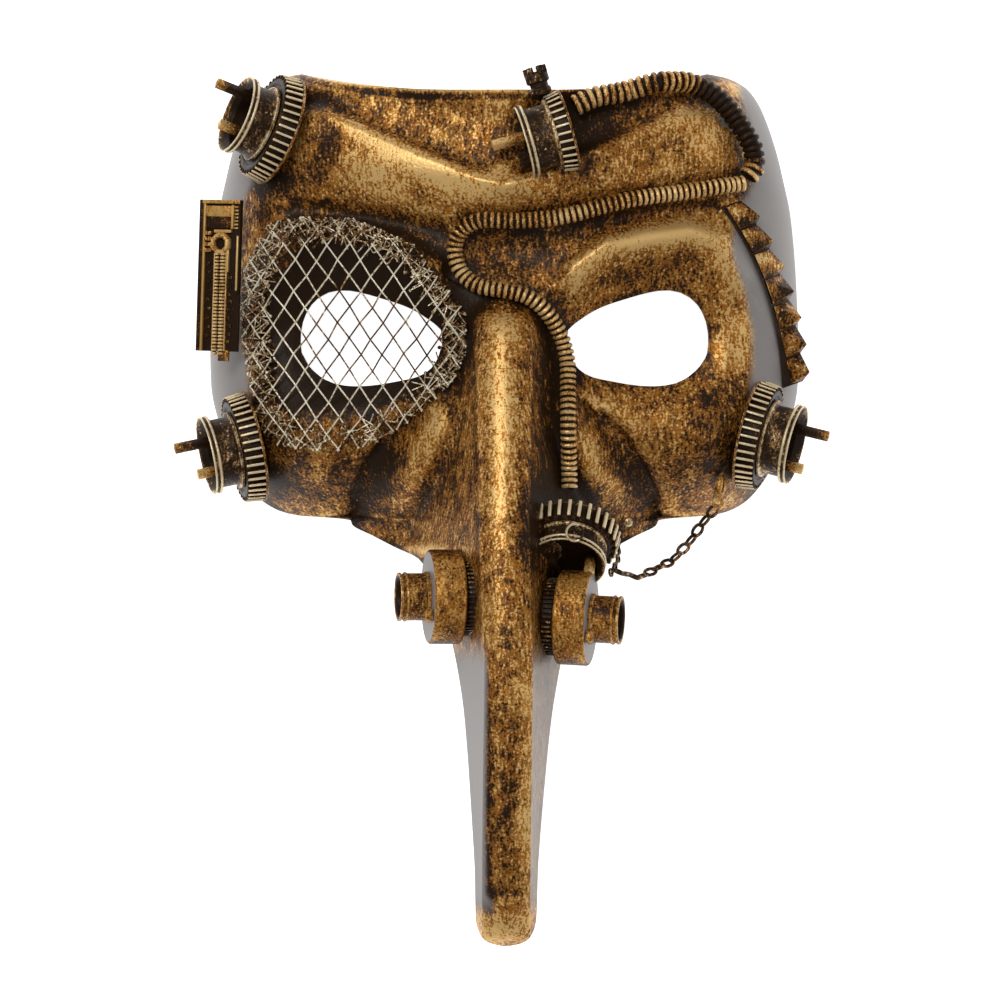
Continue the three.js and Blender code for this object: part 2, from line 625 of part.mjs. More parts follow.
function netGeometry() {
  const [wide, high] = NET.cell;
  const cells = new Set();
  for (let j = -8; j <= 9; j += 1) {
    for (let i = -13; i <= -1; i += 1) {
      const x = (i + (j % 2 ? 0.5 : 0)) * wide;
      if (insideOutline(x, (j * high) / 2, NET_OUTLINE)) cells.add(`${2 * i + (j % 2 ? 1 : 0)},${j}`);
    }
  }
  const facets = new Facets();
  const halfWire = NET.wire / 2;
  const share = 1 - (halfWire * Math.hypot(wide, high)) / (wide * high / 2);
  const corners = [[1, 0], [0, 1], [-1, 0], [0, -1]];
  for (const key of cells) {
    const [i, j] = key.split(",").map(Number);
    const at = (dx, dy, up) => {
      const [x, y] = [((i + dx) * wide) / 2, ((j + dy) * high) / 2];
      return new THREE.Vector3(x, y, netHeight(x, y) + up);
    };
    corners.forEach(([dx, dy], k) => {
      const [ex, ey] = corners[(k + 1) % 4];
      const [crest, crestEnd] = [at(dx, dy, NET.thickness), at(ex, ey, NET.thickness)];
      const [under, underEnd] = [at(dx, dy, 0), at(ex, ey, 0)];
      const [inner, innerEnd] = [at(dx * share, dy * share, 0), at(ex * share, ey * share, 0)];
      facets.quad(crest, crestEnd, innerEnd, inner);
      facets.quad(inner, innerEnd, underEnd, under);
      if (!cells.has(`${i + dx + ex},${j + dy + ey}`)) facets.quad(crestEnd, crest, under, underEnd);
    });
  }
  return facets.geometry();
}

// Drum beside the nose, its ribbed collar, its nozzle and two bolts.
function addDrumUnit(side, { at, heading, rise, turn }) {
  const group = axisGroup(at, heading, rise);
  const { radius, length, groove, nozzle, bore, reach, sides } = DRUM;
  const start = COLLAR.length + GAP;
  const collarShape = {
    radius: COLLAR.radius, depth: COLLAR.length, teeth: COLLAR.ribs, tooth: 0.7,
  };
  addMesh(group, `collar_${side}`, trimmed(toothedWheel(collarShape), group), CUP_PAINT);
  const drum = new THREE.Group();
  drum.position.z = start;
  group.add(drum);
  const drumProfile = [
    [0, 0], [radius, 0], [radius, 1.4], [radius - groove, 2], [radius - groove, 3], [radius, 3.6],
    [radius, length - 1], [radius - 1, length], [0, length],
  ];
  addMesh(drum, `drum_${side}`, trimmed(turned(drumProfile, sides), drum), PLATE_PAINT);
  const spout = new THREE.Group();
  spout.position.set(0, 0, length + GAP);
  drum.add(spout);
  const out = reach - length / 2;
  const flange = nozzle + 1.2;
  const nozzleProfile = [
    [0, 0], [flange, 0], [flange, 1.4], [nozzle, 1.8], [nozzle, out], [bore, out], [bore, 2], [0, 2],
  ];
  addMesh(spout, `nozzle_${side}`, trimmed(turned(nozzleProfile, 10), spout), PIN_PAINT);
  BOLT.turns.forEach((degrees, i) => {
    const bolt = new THREE.CylinderGeometry(BOLT.radius, BOLT.radius, BOLT.height, BOLT.sides);
    bolt.rotateX(Math.PI / 2);
    const mesh = addMesh(drum, `drum_bolt_${side}_${i + 1}`, bolt, PIN_PAINT);
    const r = radius - BOLT.inFromRim;
    const [x, y] = [turn * r * Math.cos(radians(degrees)), r * Math.sin(radians(degrees))];
    mesh.position.set(x, y, length + GAP + BOLT.height / 2);
  });
}

function addSidePlate() {
  const { at, width, length, thickness, rim, lean, turn } = PLATE;
  const group = new THREE.Group();
  group.position.set(...at);
  group.rotation.set(0, radians(-lean), radians(turn));
  mask.add(group);
  const outline = new THREE.Shape([
    new THREE.Vector2(-width / 2, -length / 2), new THREE.Vector2(width / 2, -length / 2),
    new THREE.Vector2(width / 2, length / 2), new THREE.Vector2(-width / 2, length / 2),
  ]);
  const base = new THREE.ExtrudeGeometry(outline, { depth: thickness, bevelEnabled: false });
  const recess = new THREE.BoxGeometry(width - 2 * rim, length - 2 * rim, thickness);
  recess.translate(0, 0, thickness);
  const frame = toGeometry(toSolid(base).subtract(toSolid(recess)));
  addMesh(group, "side_plate", trimmed(frame, group), PLATE_PAINT);
  const floor = thickness / 2 + GAP;
  const pane = PLATE_WINDOW;
  const paneGeometry = new THREE.BoxGeometry(pane.width, pane.length, pane.thickness);
  const paneMesh = addMesh(group, "plate_window", paneGeometry, PLATE_PAINT);
  paneMesh.position.set(...pane.at, floor + pane.thickness / 2);
  const rod = PLATE_ROD;
  const rodGeometry = new THREE.CylinderGeometry(rod.radius, rod.radius, rod.length, rod.sides);
  addMesh(group, "plate_rod", rodGeometry, HOSE_PAINT).position.set(...rod.at, floor + rod.radius);
  const knob = PLATE_KNOB;
  const knobGeometry = new THREE.CylinderGeometry(knob.radius, knob.foot, knob.height, knob.sides);
  const knobMesh = addMesh(group, "plate_knob", knobGeometry.rotateX(Math.PI / 2), PIN_PAINT);
  knobMesh.position.set(...knob.at, floor + knob.height / 2);
}

// Seven pyramids on a strip that bows down the temple.
function spikeStripGeometry() {
  const { count, width, height, base, sink, lowest, from, to, bow, tip: [lean, outwards] } = SPIKES;
  const along = new THREE.Vector2(to[0] - from[0], to[1] - from[1]);
  const outward = new THREE.Vector2(-along.y, along.x).normalize();
  const place = (share, across, up) => {
    const arc = bow * 4 * share * (1 - share);
    const x = from[0] + along.x * share + outward.x * (arc + across);
    const y = from[1] + along.y * share + outward.y * (arc + across);
    return new THREE.Vector3(x, y, Math.max(skin(x, y), lowest) + 2 * GAP + up);
  };
  const facets = new Facets();
  const [top, bottom] = [[], []];
  for (let i = 0; i <= count; i += 1) {
    const share = i / count;
    top.push([place(share, -width / 2, base), place(share, width / 2, base)]);
    bottom.push([place(share, -width / 2, -sink), place(share, width / 2, -sink)]);
  }
  for (let i = 0; i < count; i += 1) {
    const tip = place((i + lean) / count, outwards, base + height);
    const ring = [top[i][0], top[i][1], top[i + 1][1], top[i + 1][0]];
    ring.forEach((p, k) => facets.triangle(ring[(k + 1) % 4], p, tip));
    facets.quad(bottom[i][0], bottom[i][1], bottom[i + 1][1], bottom[i + 1][0]);
    facets.quad(top[i][0], bottom[i][0], bottom[i + 1][0], top[i + 1][0]);
    facets.quad(bottom[i][1], top[i][1], top[i + 1][1], bottom[i + 1][1]);
  }
  facets.quad(top[0][1], bottom[0][1], bottom[0][0], top[0][0]);
  facets.quad(top[count][0], bottom[count][0], bottom[count][1], top[count][1]);
  return facets.geometry();
}

// One chain link: a flattened ring of few sides, standing along +Y and turned about it.
function linkGeometry(roll) {
  const { wire, linkLength, linkWidth, sides, corners } = CHAIN;
  const ring = new THREE.TorusGeometry(linkWidth / 2 - wire, wire, sides, corners);
  return ring.scale(1, (linkLength - 2 * wire) / (linkWidth - 2 * wire), 1).rotateY(roll);
}

function chainGeometry() {
  const route = new THREE.CatmullRomCurve3(CHAIN_ROUTE.map((p) => new THREE.Vector3(...p)));
  const count = Math.round(route.getLength() / CHAIN.pitch);
  let solid = null;
  for (let i = 0; i <= count; i += 1) {
    const along = route.getTangentAt(i / count);
    const turn = new THREE.Quaternion().setFromUnitVectors(new THREE.Vector3(0, 1, 0), along);
    const link = linkGeometry(((i % 2 ? 1 : -1) * Math.PI) / 4).applyQuaternion(turn);
    link.translate(...route.getPointAt(i / count).toArray());
    solid = solid ? solid.add(toSolid(link)) : toSolid(link);
  }
  return toGeometry(largestBody(solid));
}

function claspGeometry() {
  const { at: [x, y, z], lean, length, width, wire, segments } = CLASP;
  const outline = new THREE.Shape().absellipse(0, 0, width / 2, length / 2, 0, 2 * Math.PI);
  const [wide, long] = [width / 2 - wire, length / 2 - wire];
  outline.holes.push(new THREE.Path().absellipse(0, 0, wide, long, 0, 2 * Math.PI));
  const settings = { depth: 2 * wire, curveSegments: segments, bevelEnabled: false };
  return new THREE.ExtrudeGeometry(outline, settings).rotateZ(-radians(lean)).translate(x, y, z - wire);
}

function rivetGeometry() {
  const { at: [x, y], radius, height, sides } = RIVET;
  const long = height + WALL / 2;
  return new THREE.CylinderGeometry(radius * 0.8, radius, long, sides)
    .rotateX(Math.PI / 2)
    .translate(x, y, skin(x, y) + GAP + height - long / 2);
}

function addTrimmings() {
  addMesh(mask, "eye_net", trimmed(netGeometry(), mask), NET_PAINT);
  for (const [side, unit] of Object.entries(DRUM_UNITS)) addDrumUnit(side, unit);
  addSidePlate();
  addMesh(mask, "spike_strip", trimmed(spikeStripGeometry(), mask), SPIKE_PAINT);
  addMesh(mask, "chain", chainGeometry(), CHAIN_PAINT);
  addMesh(mask, "chain_clasp", trimmed(claspGeometry(), mask), CHAIN_PAINT);
  addMesh(mask, "rivet", trimmed(rivetGeometry(), mask), CUP_PAINT);
  const knob = new THREE.CylinderGeometry(KNOB.radius, KNOB.radius * 0.8, KNOB.height, KNOB.sides);
  const knobMesh = addMesh(mask, "brow_knob", knob, CUP_PAINT);
  knobMesh.position.set(...KNOB.at);
  knobMesh.rotation.z = radians(KNOB.turn);
  const { radius, bore, height, sides } = EYELET;
  const eyelet = turned([[bore, 0], [radius, 0], [radius, height], [bore, height], [bore, 0]], sides);
  addMesh(mask, "nose_eyelet", eyelet, CUP_PAINT).position.set(...EYELET.at);
}

addMesh(mask, "mask_shell", toGeometry(shellSolid()), SHELL_PAINT);
for (const { name, radius, route, steps } of HOSES) {
  addMesh(mask, name, trimmed(tube(laidOnSkin(route, radius), radius, steps), mask), HOSE_PAINT);
}
for (const [name, unit] of Object.entries(GEAR_UNITS)) addGearUnit(name, unit);
addTrimmings();

// The origin is the middle of the underside of the whole mask's box.
mask.updateMatrixWorld(true);
const middle = new THREE.Box3().setFromObject(mask, true).getCenter(new THREE.Vector3());
mask.position.set(-middle.x, -middle.y, 0);

export default mask;
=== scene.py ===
"""Looks of a long-nosed carnival half mask with clockwork trimmings, lying face up.

Sizes are millimetres in the mask's own layout: X = 0 is the middle of the face, Y = 0 the line of the
eyes and Z = 0 the surface it lies on. A piece is moved into the model's frame, in metres, as its mesh
is made.
"""

from __future__ import annotations

import logging
import math
from dataclasses import dataclass, field
from enum import Enum
from typing import Any, Iterable, Sequence

import bpy
import numpy as np
from mathutils import Matrix, Vector

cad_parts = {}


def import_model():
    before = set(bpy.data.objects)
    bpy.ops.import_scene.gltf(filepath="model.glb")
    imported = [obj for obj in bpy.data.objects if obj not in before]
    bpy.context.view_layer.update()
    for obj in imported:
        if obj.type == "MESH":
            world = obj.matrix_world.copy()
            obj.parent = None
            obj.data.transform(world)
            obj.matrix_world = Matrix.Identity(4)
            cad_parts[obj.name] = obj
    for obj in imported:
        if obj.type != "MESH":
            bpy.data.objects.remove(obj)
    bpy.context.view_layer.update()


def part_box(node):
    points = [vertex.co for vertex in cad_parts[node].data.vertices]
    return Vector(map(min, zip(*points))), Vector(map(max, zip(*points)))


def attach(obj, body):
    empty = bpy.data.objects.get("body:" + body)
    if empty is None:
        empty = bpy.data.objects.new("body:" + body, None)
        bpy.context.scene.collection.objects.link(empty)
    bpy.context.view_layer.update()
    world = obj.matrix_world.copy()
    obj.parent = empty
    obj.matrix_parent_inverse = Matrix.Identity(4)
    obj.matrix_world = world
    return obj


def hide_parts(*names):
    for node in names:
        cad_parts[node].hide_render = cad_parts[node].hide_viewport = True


log = logging.getLogger("mask")

MM = 0.001
GAP = 0.3
WALL = 2.0
Colour = tuple[float, float, float]
Row = tuple[float, float]


class Slot(Enum):
    """The record's material slots."""

    MOULDING = "moulding"
    WHEEL = "wheel"
    CUP = "cup"
    PIN = "pin"
    HOSE = "hose"
    NET = "net"
    PLATE = "plate"
    SPIKES = "spikes"
    CHAIN = "chain"


def ease(t: np.ndarray | float) -> np.ndarray:
    """Smooth step from 0 to 1."""
    held = np.clip(t, 0.0, 1.0)
    return held * held * (3.0 - 2.0 * held)


def below(y: np.ndarray, start: float, over: float) -> np.ndarray:
    """Nought above a row of the face, and smoothly 1 from a distance below it."""
    return ease((start - y) / over)


def above(y: np.ndarray, start: float, over: float) -> np.ndarray:
    """Nought below a row of the face, and smoothly 1 from a distance above it."""
    return ease((y - start) / over)


def near(away: np.ndarray, reach: float) -> np.ndarray:
    """1 where a distance is nought, dying away over a reach."""
    return np.exp(-((away / reach) ** 2))


class SmoothCurve:
    """A smooth curve through rows of (where, value) that never overshoots them."""

    def __init__(self, rows: Iterable[Row]) -> None:
        """Fits the curve.

        Args:
            rows: places and the values there, in any order.
        """
        table = np.array(sorted(rows), float)
        self.at, self.value = table[:, 0], table[:, 1]
        slope = np.diff(self.value) / np.diff(self.at)
        before, after = slope[:-1], slope[1:]
        total = np.where(before * after > 0, before + after, 1.0)
        inner = np.where(before * after > 0, 2.0 * before * after / total, 0.0)
        self.tangent = np.concatenate([slope[:1], inner, slope[-1:]])

    def __call__(self, where: np.ndarray | float) -> np.ndarray:
        """Value of the curve, held level beyond its ends.

        Args:
            where: one or many places.

        Returns:
            The value at each place.
        """
        w = np.clip(np.asarray(where, float), self.at[0], self.at[-1])
        i = np.clip(np.searchsorted(self.at, w, side="left") - 1, 0, len(self.at) - 2)
        span = self.at[i + 1] - self.at[i]
        t = (w - self.at[i]) / span
        return (
            (2 * t**3 - 3 * t**2 + 1) * self.value[i]
            + (t**3 - 2 * t**2 + t) * span * self.tangent[i]
            + (3 * t**2 - 2 * t**3) * self.value[i + 1]
            + (t**3 - t**2) * span * self.tangent[i + 1]
        )


def smooth_line(corners: Sequence[Sequence[float]], spacing: float = 0.8, count: int = 0) -> np.ndarray:
    """Points evenly spaced along a smooth line.

    Args:
        corners: the places that it passes through.
        spacing: how far apart the points lie.
        count: how many there are, in place of the spacing.

    Returns:
        The points, one a row.
    """
    line = np.array(corners, float)
    reach = np.concatenate([[0.0], np.cumsum(np.linalg.norm(np.diff(line, axis=0), axis=1))])
    steps = np.linspace(0.0, reach[-1], count or int(reach[-1] / spacing))
    return np.column_stack([SmoothCurve(zip(reach, column))(steps) for column in line.T])


def distance(x: np.ndarray, y: np.ndarray, line: np.ndarray) -> np.ndarray:
    """How far each point of a grid lies from the nearest point of a line."""
    return np.min(np.hypot(x[..., None] - line[:, 0], y[..., None] - line[:, 1]), axis=2)


@dataclass(frozen=True)
class Mound:
    """A round hill, hollow or patch: centre, half-sizes, height, turn in degrees, steepness of its edge."""

    at: Row
    size: Row
    height: float
    turn: float = 0.0
    steep: float = 1.0

    def on(self, x: np.ndarray, y: np.ndarray) -> np.ndarray:
        """What it adds at each point."""
        c, s = math.cos(math.radians(self.turn)), math.sin(math.radians(self.turn))
        dx, dy = x - self.at[0], y - self.at[1]
        u, v = (dx * c + dy * s) / self.size[0], (dy * c - dx * s) / self.size[1]
        return self.height * np.exp(-((u * u + v * v) ** self.steep))


@dataclass(frozen=True)
class Crease:
    """A crest or groove along a path: height, and width of its upper and lower slope."""

    path: Sequence[Row]
    height: float
    upper: float
    lower: float

    def on(self, x: np.ndarray, y: np.ndarray) -> np.ndarray:
        """Height it adds at each point."""
        best = np.full(np.shape(x), np.inf)
        above = np.zeros(np.shape(x), bool)
        for (x0, y0), (x1, y1) in zip(self.path, self.path[1:]):
            dx, dy = x1 - x0, y1 - y0
            t = np.clip(((x - x0) * dx + (y - y0) * dy) / (dx * dx + dy * dy), 0.0, 1.0)
            ox, oy = x - x0 - t * dx, y - y0 - t * dy
            away = np.hypot(ox, oy)
            nearer = away < best
            best = np.where(nearer, away, best)
            above = np.where(nearer, dx * oy - dy * ox > 0, above)
        return self.height * np.exp(-((best / np.where(above, self.upper, self.lower)) ** 2))


HALF_WIDTH = [
    (74, 61), (73, 69.2), (69.2, 75.7), (62, 80.5), (52, 84.5), (38, 87.6), (19, 89.2), (-4, 90),
    (-13, 89.7), (-30, 85.5), (-40, 80.5), (-47.7, 74.4), (-50.7, 69.7), (-52.6, 63.2), (-53.2, 55),
    (-53.8, 46.7), (-55.5, 46), (-58.8, 39.7), (-62.1, 33.3), (-65.7, 25.8), (-76, 20),
    (-98, 15.3), (-110, 13.3), (-122, 12), (-134, 11), (-146, 10.1), (-157, 9.4), (-171, 9),
    (-173.4, 8.7), (-175.6, 8), (-177.4, 6.8), (-178.7, 5), (-179.4, 3.1), (-179.7, 1.2),
]
NOSE_SWAY = [(-60, 0), (-80, 0.5), (-98, 1.2), (-122, 0.9), (-146, 0.6), (-180, 0.4)]
WALL_HALF_WIDTH = [
    (74, 61), (73, 69.2), (69.2, 75.7), (62, 80.5), (52, 84.5), (38, 87.6), (19, 89.2), (-4, 90),
    (-13, 89.7), (-30, 85.5), (-40, 81), (-48, 76), (-56, 68), (-64, 57), (-72, 42), (-80, 22),
]
NOSE_CREST = [
    (16, 46), (10, 58), (4, 66), (-10, 71), (-45, 81), (-80, 88), (-110, 90.5), (-145, 87),
    (-163, 82.5), (-172, 79), (-177, 76), (-179.7, 71),
]
NOSE_BACK = [(-60, 40), (-76, 46), (-93, 52), (-110, 59), (-138, 67), (-154, 69.5), (-180, 70)]
NOSE_HALF_WIDTH = [(16, 10), (4, 9), (-40, 7.2), (-173, 7.1), (-180, 7)]
EYE_HOLE = [
    (18.6, 2), (23, 6.1), (29, 9.6), (36.8, 12.3), (43.7, 14.2), (48.8, 14.8), (53.3, 13.9),
    (57.5, 10.9), (60.2, 6.1), (61.1, 0.7), (60.5, -4.8), (57.5, -9), (53, -12.3), (47.3, -13.8),
    (40.4, -13.8), (32.3, -12.6), (25.4, -11), (21.3, -8), (19.2, -3.5),
]
SWELLINGS = (
    Mound((0, 48.5), (6, 4.5), 3),
    Mound((0, 27), (17, 11), -7),
    Mound((41, 1), (27, 17), -9, 3),
    Mound((42, 49), (24, 8), 4.5, 14),
    Mound((20, 68), (20, 6), -2.5, 15),
    Mound((58, -33), (15, 13), 5.5, -20),
    Mound((25, -40), (7.5, 17), 6, 25),
)
CREASES = [
    Crease([(0, 44.6), (5, 46), (16, 50.5), (30, 56.1), (42, 60.6), (53, 63.3), (62, 61)], 4.5, 2.6, 9),
    Crease([(21, 21), (31, 28.1), (43.4, 31.1), (55.4, 32.5), (65, 29), (71, 19)], 4, 3, 7),
    Crease([(29, -23), (34.6, -27.9), (41.2, -38.1), (45.1, -46.2), (46.5, -56)], -4.2, 1.7, 6.5),
    Crease([(20, 33), (40, 37), (62, 39.5)], -2.2, 3, 4),
]


@dataclass(frozen=True)
class Face:
    """The moulding's outer skin as a height over the table.

    A pair of numbers is the row where a change down the face starts and the length that it takes.
    """

    top: float = 74.0
    tip: float = -179.7
    wall_rounding: float = 28.0
    wall_height: float = 46.0
    cheek_drop: float = 14.0
    cheek_from: Row = (-20.0, 35.0)
    crown: float = 13.0
    crown_half_width: float = 66.0
    chin_drop: float = 11.0
    chin_from: Row = (-40.0, 28.0)
    chin_half_width: float = 30.0
    face_drop: float = 30.0
    face_ends_from: Row = (-64.0, 16.0)
    corner_lift: float = 7.2
    corner_at: float = 61.0
    lift_fades_at: float = 45.0
    relief_fades_over: float = 12.0
    nose_rounding: float = 10.2
    nose_flank: float = 2.1
    free_flank_from: Row = (-58.0, 14.0)
    nose_blend: float = 6.0
    ball: float = 1.3
    ball_from: Row = (-163.0, 3.0)
    ball_ends_from: Row = (-172.0, 7.0)
    half_width: SmoothCurve = field(default_factory=lambda: SmoothCurve(HALF_WIDTH))
    wall_half_width: SmoothCurve = field(default_factory=lambda: SmoothCurve(WALL_HALF_WIDTH))
    nose_crest: SmoothCurve = field(default_factory=lambda: SmoothCurve(NOSE_CREST))
    nose_back: SmoothCurve = field(default_factory=lambda: SmoothCurve(NOSE_BACK))
    nose_half_width: SmoothCurve = field(default_factory=lambda: SmoothCurve(NOSE_HALF_WIDTH))
    sway: SmoothCurve = field(default_factory=lambda: SmoothCurve(NOSE_SWAY))

    def plain(self, a: np.ndarray, y: np.ndarray) -> np.ndarray:
        """Height without relief: a crowned plate whose sides turn down to the cut edge."""
        in_from_edge = np.maximum(0.0, self.wall_half_width(y) - a)
        q = np.clip(1.0 - in_from_edge / self.wall_rounding, 0.0, 1.0)
        side = self.wall_height - self.cheek_drop * below(y, *self.cheek_from)
        crown = self.crown * (1.0 - ease(a / self.crown_half_width))
        chin = self.chin_drop * below(y, *self.chin_from) * ease(a / self.chin_half_width)
        return side * np.sqrt(1.0 - q * q) + crown - chin

    def relief(self, a: np.ndarray, y: np.ndarray) -> np.ndarray:
        """The carved swellings and creases, dying away at the cut edges."""
        fade = ease((self.wall_half_width(y) - a) / self.relief_fades_over)
        return fade * sum(each.on(a, y) for each in (*SWELLINGS, *CREASES))

    def nose(self, a: np.ndarray, y: np.ndarray) -> np.ndarray:
        """Height of the nose: a rounded crest between two flanks."""
        r, bend, crest = self.nose_half_width(y), self.nose_rounding, self.nose_crest(y)
        inside = bend - np.sqrt(bend**2 - np.minimum(a, r) ** 2)
        shoulder = crest - (bend - np.sqrt(bend**2 - r**2))
        free = (shoulder - self.nose_back(y)) / np.maximum(self.half_width(y) - r, 0.8)
        slope = self.nose_flank + (free - self.nose_flank) * below(y, *self.free_flank_from)
        ball = self.ball * below(y, *self.ball_from) * (1.0 - below(y, *self.ball_ends_from))
        ball = ball * (1.0 - ease(a / (r * 0.95)))
        return np.where(a <= r, crest - inside, shoulder - (a - r) * slope) + ball

    def on_row(self, x: np.ndarray, row: np.ndarray) -> np.ndarray:
        """Height of the skin on a row of its mesh."""
        a = np.abs(x - self.sway(row))
        ridge = self.nose(a, row)
        start, over = self.face_ends_from
        face = self.plain(a, row) + self.relief(a, row) - self.face_drop * below(row, start, over)
        h = np.maximum(self.nose_blend - np.abs(face - ridge), 0.0) / self.nose_blend
        blended = np.maximum(face, ridge) + h * h * self.nose_blend / 4.0
        return np.where(row < start - over, ridge, blended)

    def lift(self, x: np.ndarray, row: np.ndarray) -> np.ndarray:
        """How far a row bends up towards the corners of the top rim."""
        outwards = np.minimum(1.0, np.abs(x) / self.corner_at) ** 3
        share = ease((row - self.lift_fades_at) / (self.top - self.lift_fades_at))
        return self.corner_lift * outwards * share

    def skin(self, x: np.ndarray, y: np.ndarray) -> np.ndarray:
        """Height of the skin over any point of the table.

        Args:
            x: places across the face.
            y: places up the face.

        Returns:
            The skin's height at each place.
        """
        x, y = np.asarray(x, float), np.asarray(y, float)
        row = y
        for _ in range(4):
            row = y - self.lift(x, row)
        return self.on_row(x, np.minimum(row, self.top))

    def uprightness(self, x: np.ndarray, y: np.ndarray) -> np.ndarray:
        """1 where the skin is level, less where it leans."""
        across = self.skin(x + 0.5, y) - self.skin(x - 0.5, y)
        along = self.skin(x, y + 0.5) - self.skin(x, y - 0.5)
        return np.maximum(1.0 / np.sqrt(1.0 + across**2 + along**2), 0.5)


@dataclass
class Form:
    """Points, in millimetres, and faces of a piece while it is made, with its marks for the paint."""

    points: np.ndarray
    faces: list[tuple[int, ...]]
    marks: dict[str, np.ndarray] = field(default_factory=dict)

    def placed(self, matrix: Matrix) -> Form:
        """The same form turned and moved by a matrix."""
        m = np.array(matrix)
        return Form(self.points @ m[:3, :3].T + m[:3, 3], self.faces, self.marks)

    def mark(self, name: str) -> np.ndarray:
        """One mark of every point, nought where it has none."""
        return self.marks.get(name, np.zeros(len(self.points)))

    def __add__(self, other: Form) -> Form:
        """Both forms in one."""
        shift = len(self.points)
        faces = self.faces + [tuple(i + shift for i in face) for face in other.faces]
        names = dict.fromkeys((*self.marks, *other.marks))
        marks = {name: np.concatenate([self.mark(name), other.mark(name)]) for name in names}
        return Form(np.vstack([self.points, other.points]), faces, marks)


def turned(
    profile: Sequence[Row], segments: int, closed: bool = False,
    dark: tuple[int, int] | None = None, bare: tuple[int, int] | None = None,
    missed: float = -1.3,
) -> Form:
    """A turned form about Z.

    Args:
        profile: rows of (radius, along), from the bottom's middle round to the top's middle.
        segments: faces round it.
        closed: joins the profile's end to its start, for a ring.
        dark: first and last row that the brush missed.
        bare: first and last row without paint, shown grey as a painted reflection.
        missed: how much less the dark rows were brushed.

    Returns:
        The form, with its faces pointing out.
    """
    points: list[tuple[float, float, float]] = []
    rings: list[list[int]] = []
    for r, z in profile:
        count = 1 if r == 0 else segments
        rings.append(list(range(len(points), len(points) + count)))
        for k in range(count):
            turn = 2 * math.pi * k / segments
            points.append((r * math.cos(turn), r * math.sin(turn), z))
    faces: list[tuple[int, ...]] = []
    pairs = list(zip(rings, rings[1:] + rings[:1])) if closed else list(zip(rings, rings[1:]))
    for low, high in pairs:
        for k in range(segments):
            n = (k + 1) % segments
            if len(low) == 1:
                faces.append((low[0], high[n], high[k]))
            elif len(high) == 1:
                faces.append((low[k], low[n], high[0]))
            else:
                faces.append((low[k], low[n], high[n], high[k]))
    marks = {}
    for name, span, amount in (("brushed", dark, missed), ("bare", bare, 1.0)):
        if span:
            values = np.zeros(len(points))
            for ring in rings[span[0] : span[1] + 1]:
                values[ring] = amount
            marks[name] = values
    return Form(np.array(points), faces, marks)


def block(size: Sequence[float], at: Sequence[float] = (0, 0, 0)) -> Form:
    """A box about a centre, which a bevel finishes."""
    corners = [(x, y, z) for z in (-0.5, 0.5) for y in (-0.5, 0.5) for x in (-0.5, 0.5)]
    faces = [(0, 2, 3, 1), (4, 5, 7, 6), (0, 1, 5, 4), (2, 6, 7, 3), (0, 4, 6, 2), (1, 3, 7, 5)]
    return Form(np.array(corners) * np.array(size) + np.array(at), faces)


def axis_frame(at: Sequence[float], heading: float, rise: float) -> Matrix:
    """A frame whose +Z has a heading in the face's plane and a rise out of it, in degrees."""
    h, r = math.radians(heading), math.radians(rise)
    axis = Vector((math.cos(h) * math.cos(r), math.sin(h) * math.cos(r), math.sin(r)))
    side = Vector((0, 0, 1)).cross(axis).normalized()
    up = axis.cross(side)
    turn = Matrix((side, up, axis)).transposed().to_4x4()
    return Matrix.Translation(Vector(at)) @ turn


def along(distance: float) -> Matrix:
    """A move along +Z."""
    return Matrix.Translation(Vector((0, 0, distance)))


class Term:
    """A number socket with arithmetic that adds Math nodes."""

    def __init__(self, graph: Graph, socket: bpy.types.NodeSocket) -> None:
        """Wraps a socket of a graph."""
        self.graph, self.socket = graph, socket

    def _math(self, operation: str, first: Any, second: Any) -> Term:
        """One Math node on two values."""
        node = self.graph.add("ShaderNodeMath", {"operation": operation}, {0: first, 1: second})
        return Term(self.graph, node.outputs[0])

    def __add__(self, other: Any) -> Term:
        """Sum."""
        return self._math("ADD", self, other)

    def __radd__(self, other: Any) -> Term:
        """Sum."""
        return self._math("ADD", other, self)

    def __sub__(self, other: Any) -> Term:
        """Difference."""
        return self._math("SUBTRACT", self, other)

    def __rsub__(self, other: Any) -> Term:
        """Difference, reflected."""
        return self._math("SUBTRACT", other, self)

    def __mul__(self, other: Any) -> Term:
        """Product."""
        return self._math("MULTIPLY", self, other)

    def __rmul__(self, other: Any) -> Term:
        """Product."""
        return self._math("MULTIPLY", other, self)


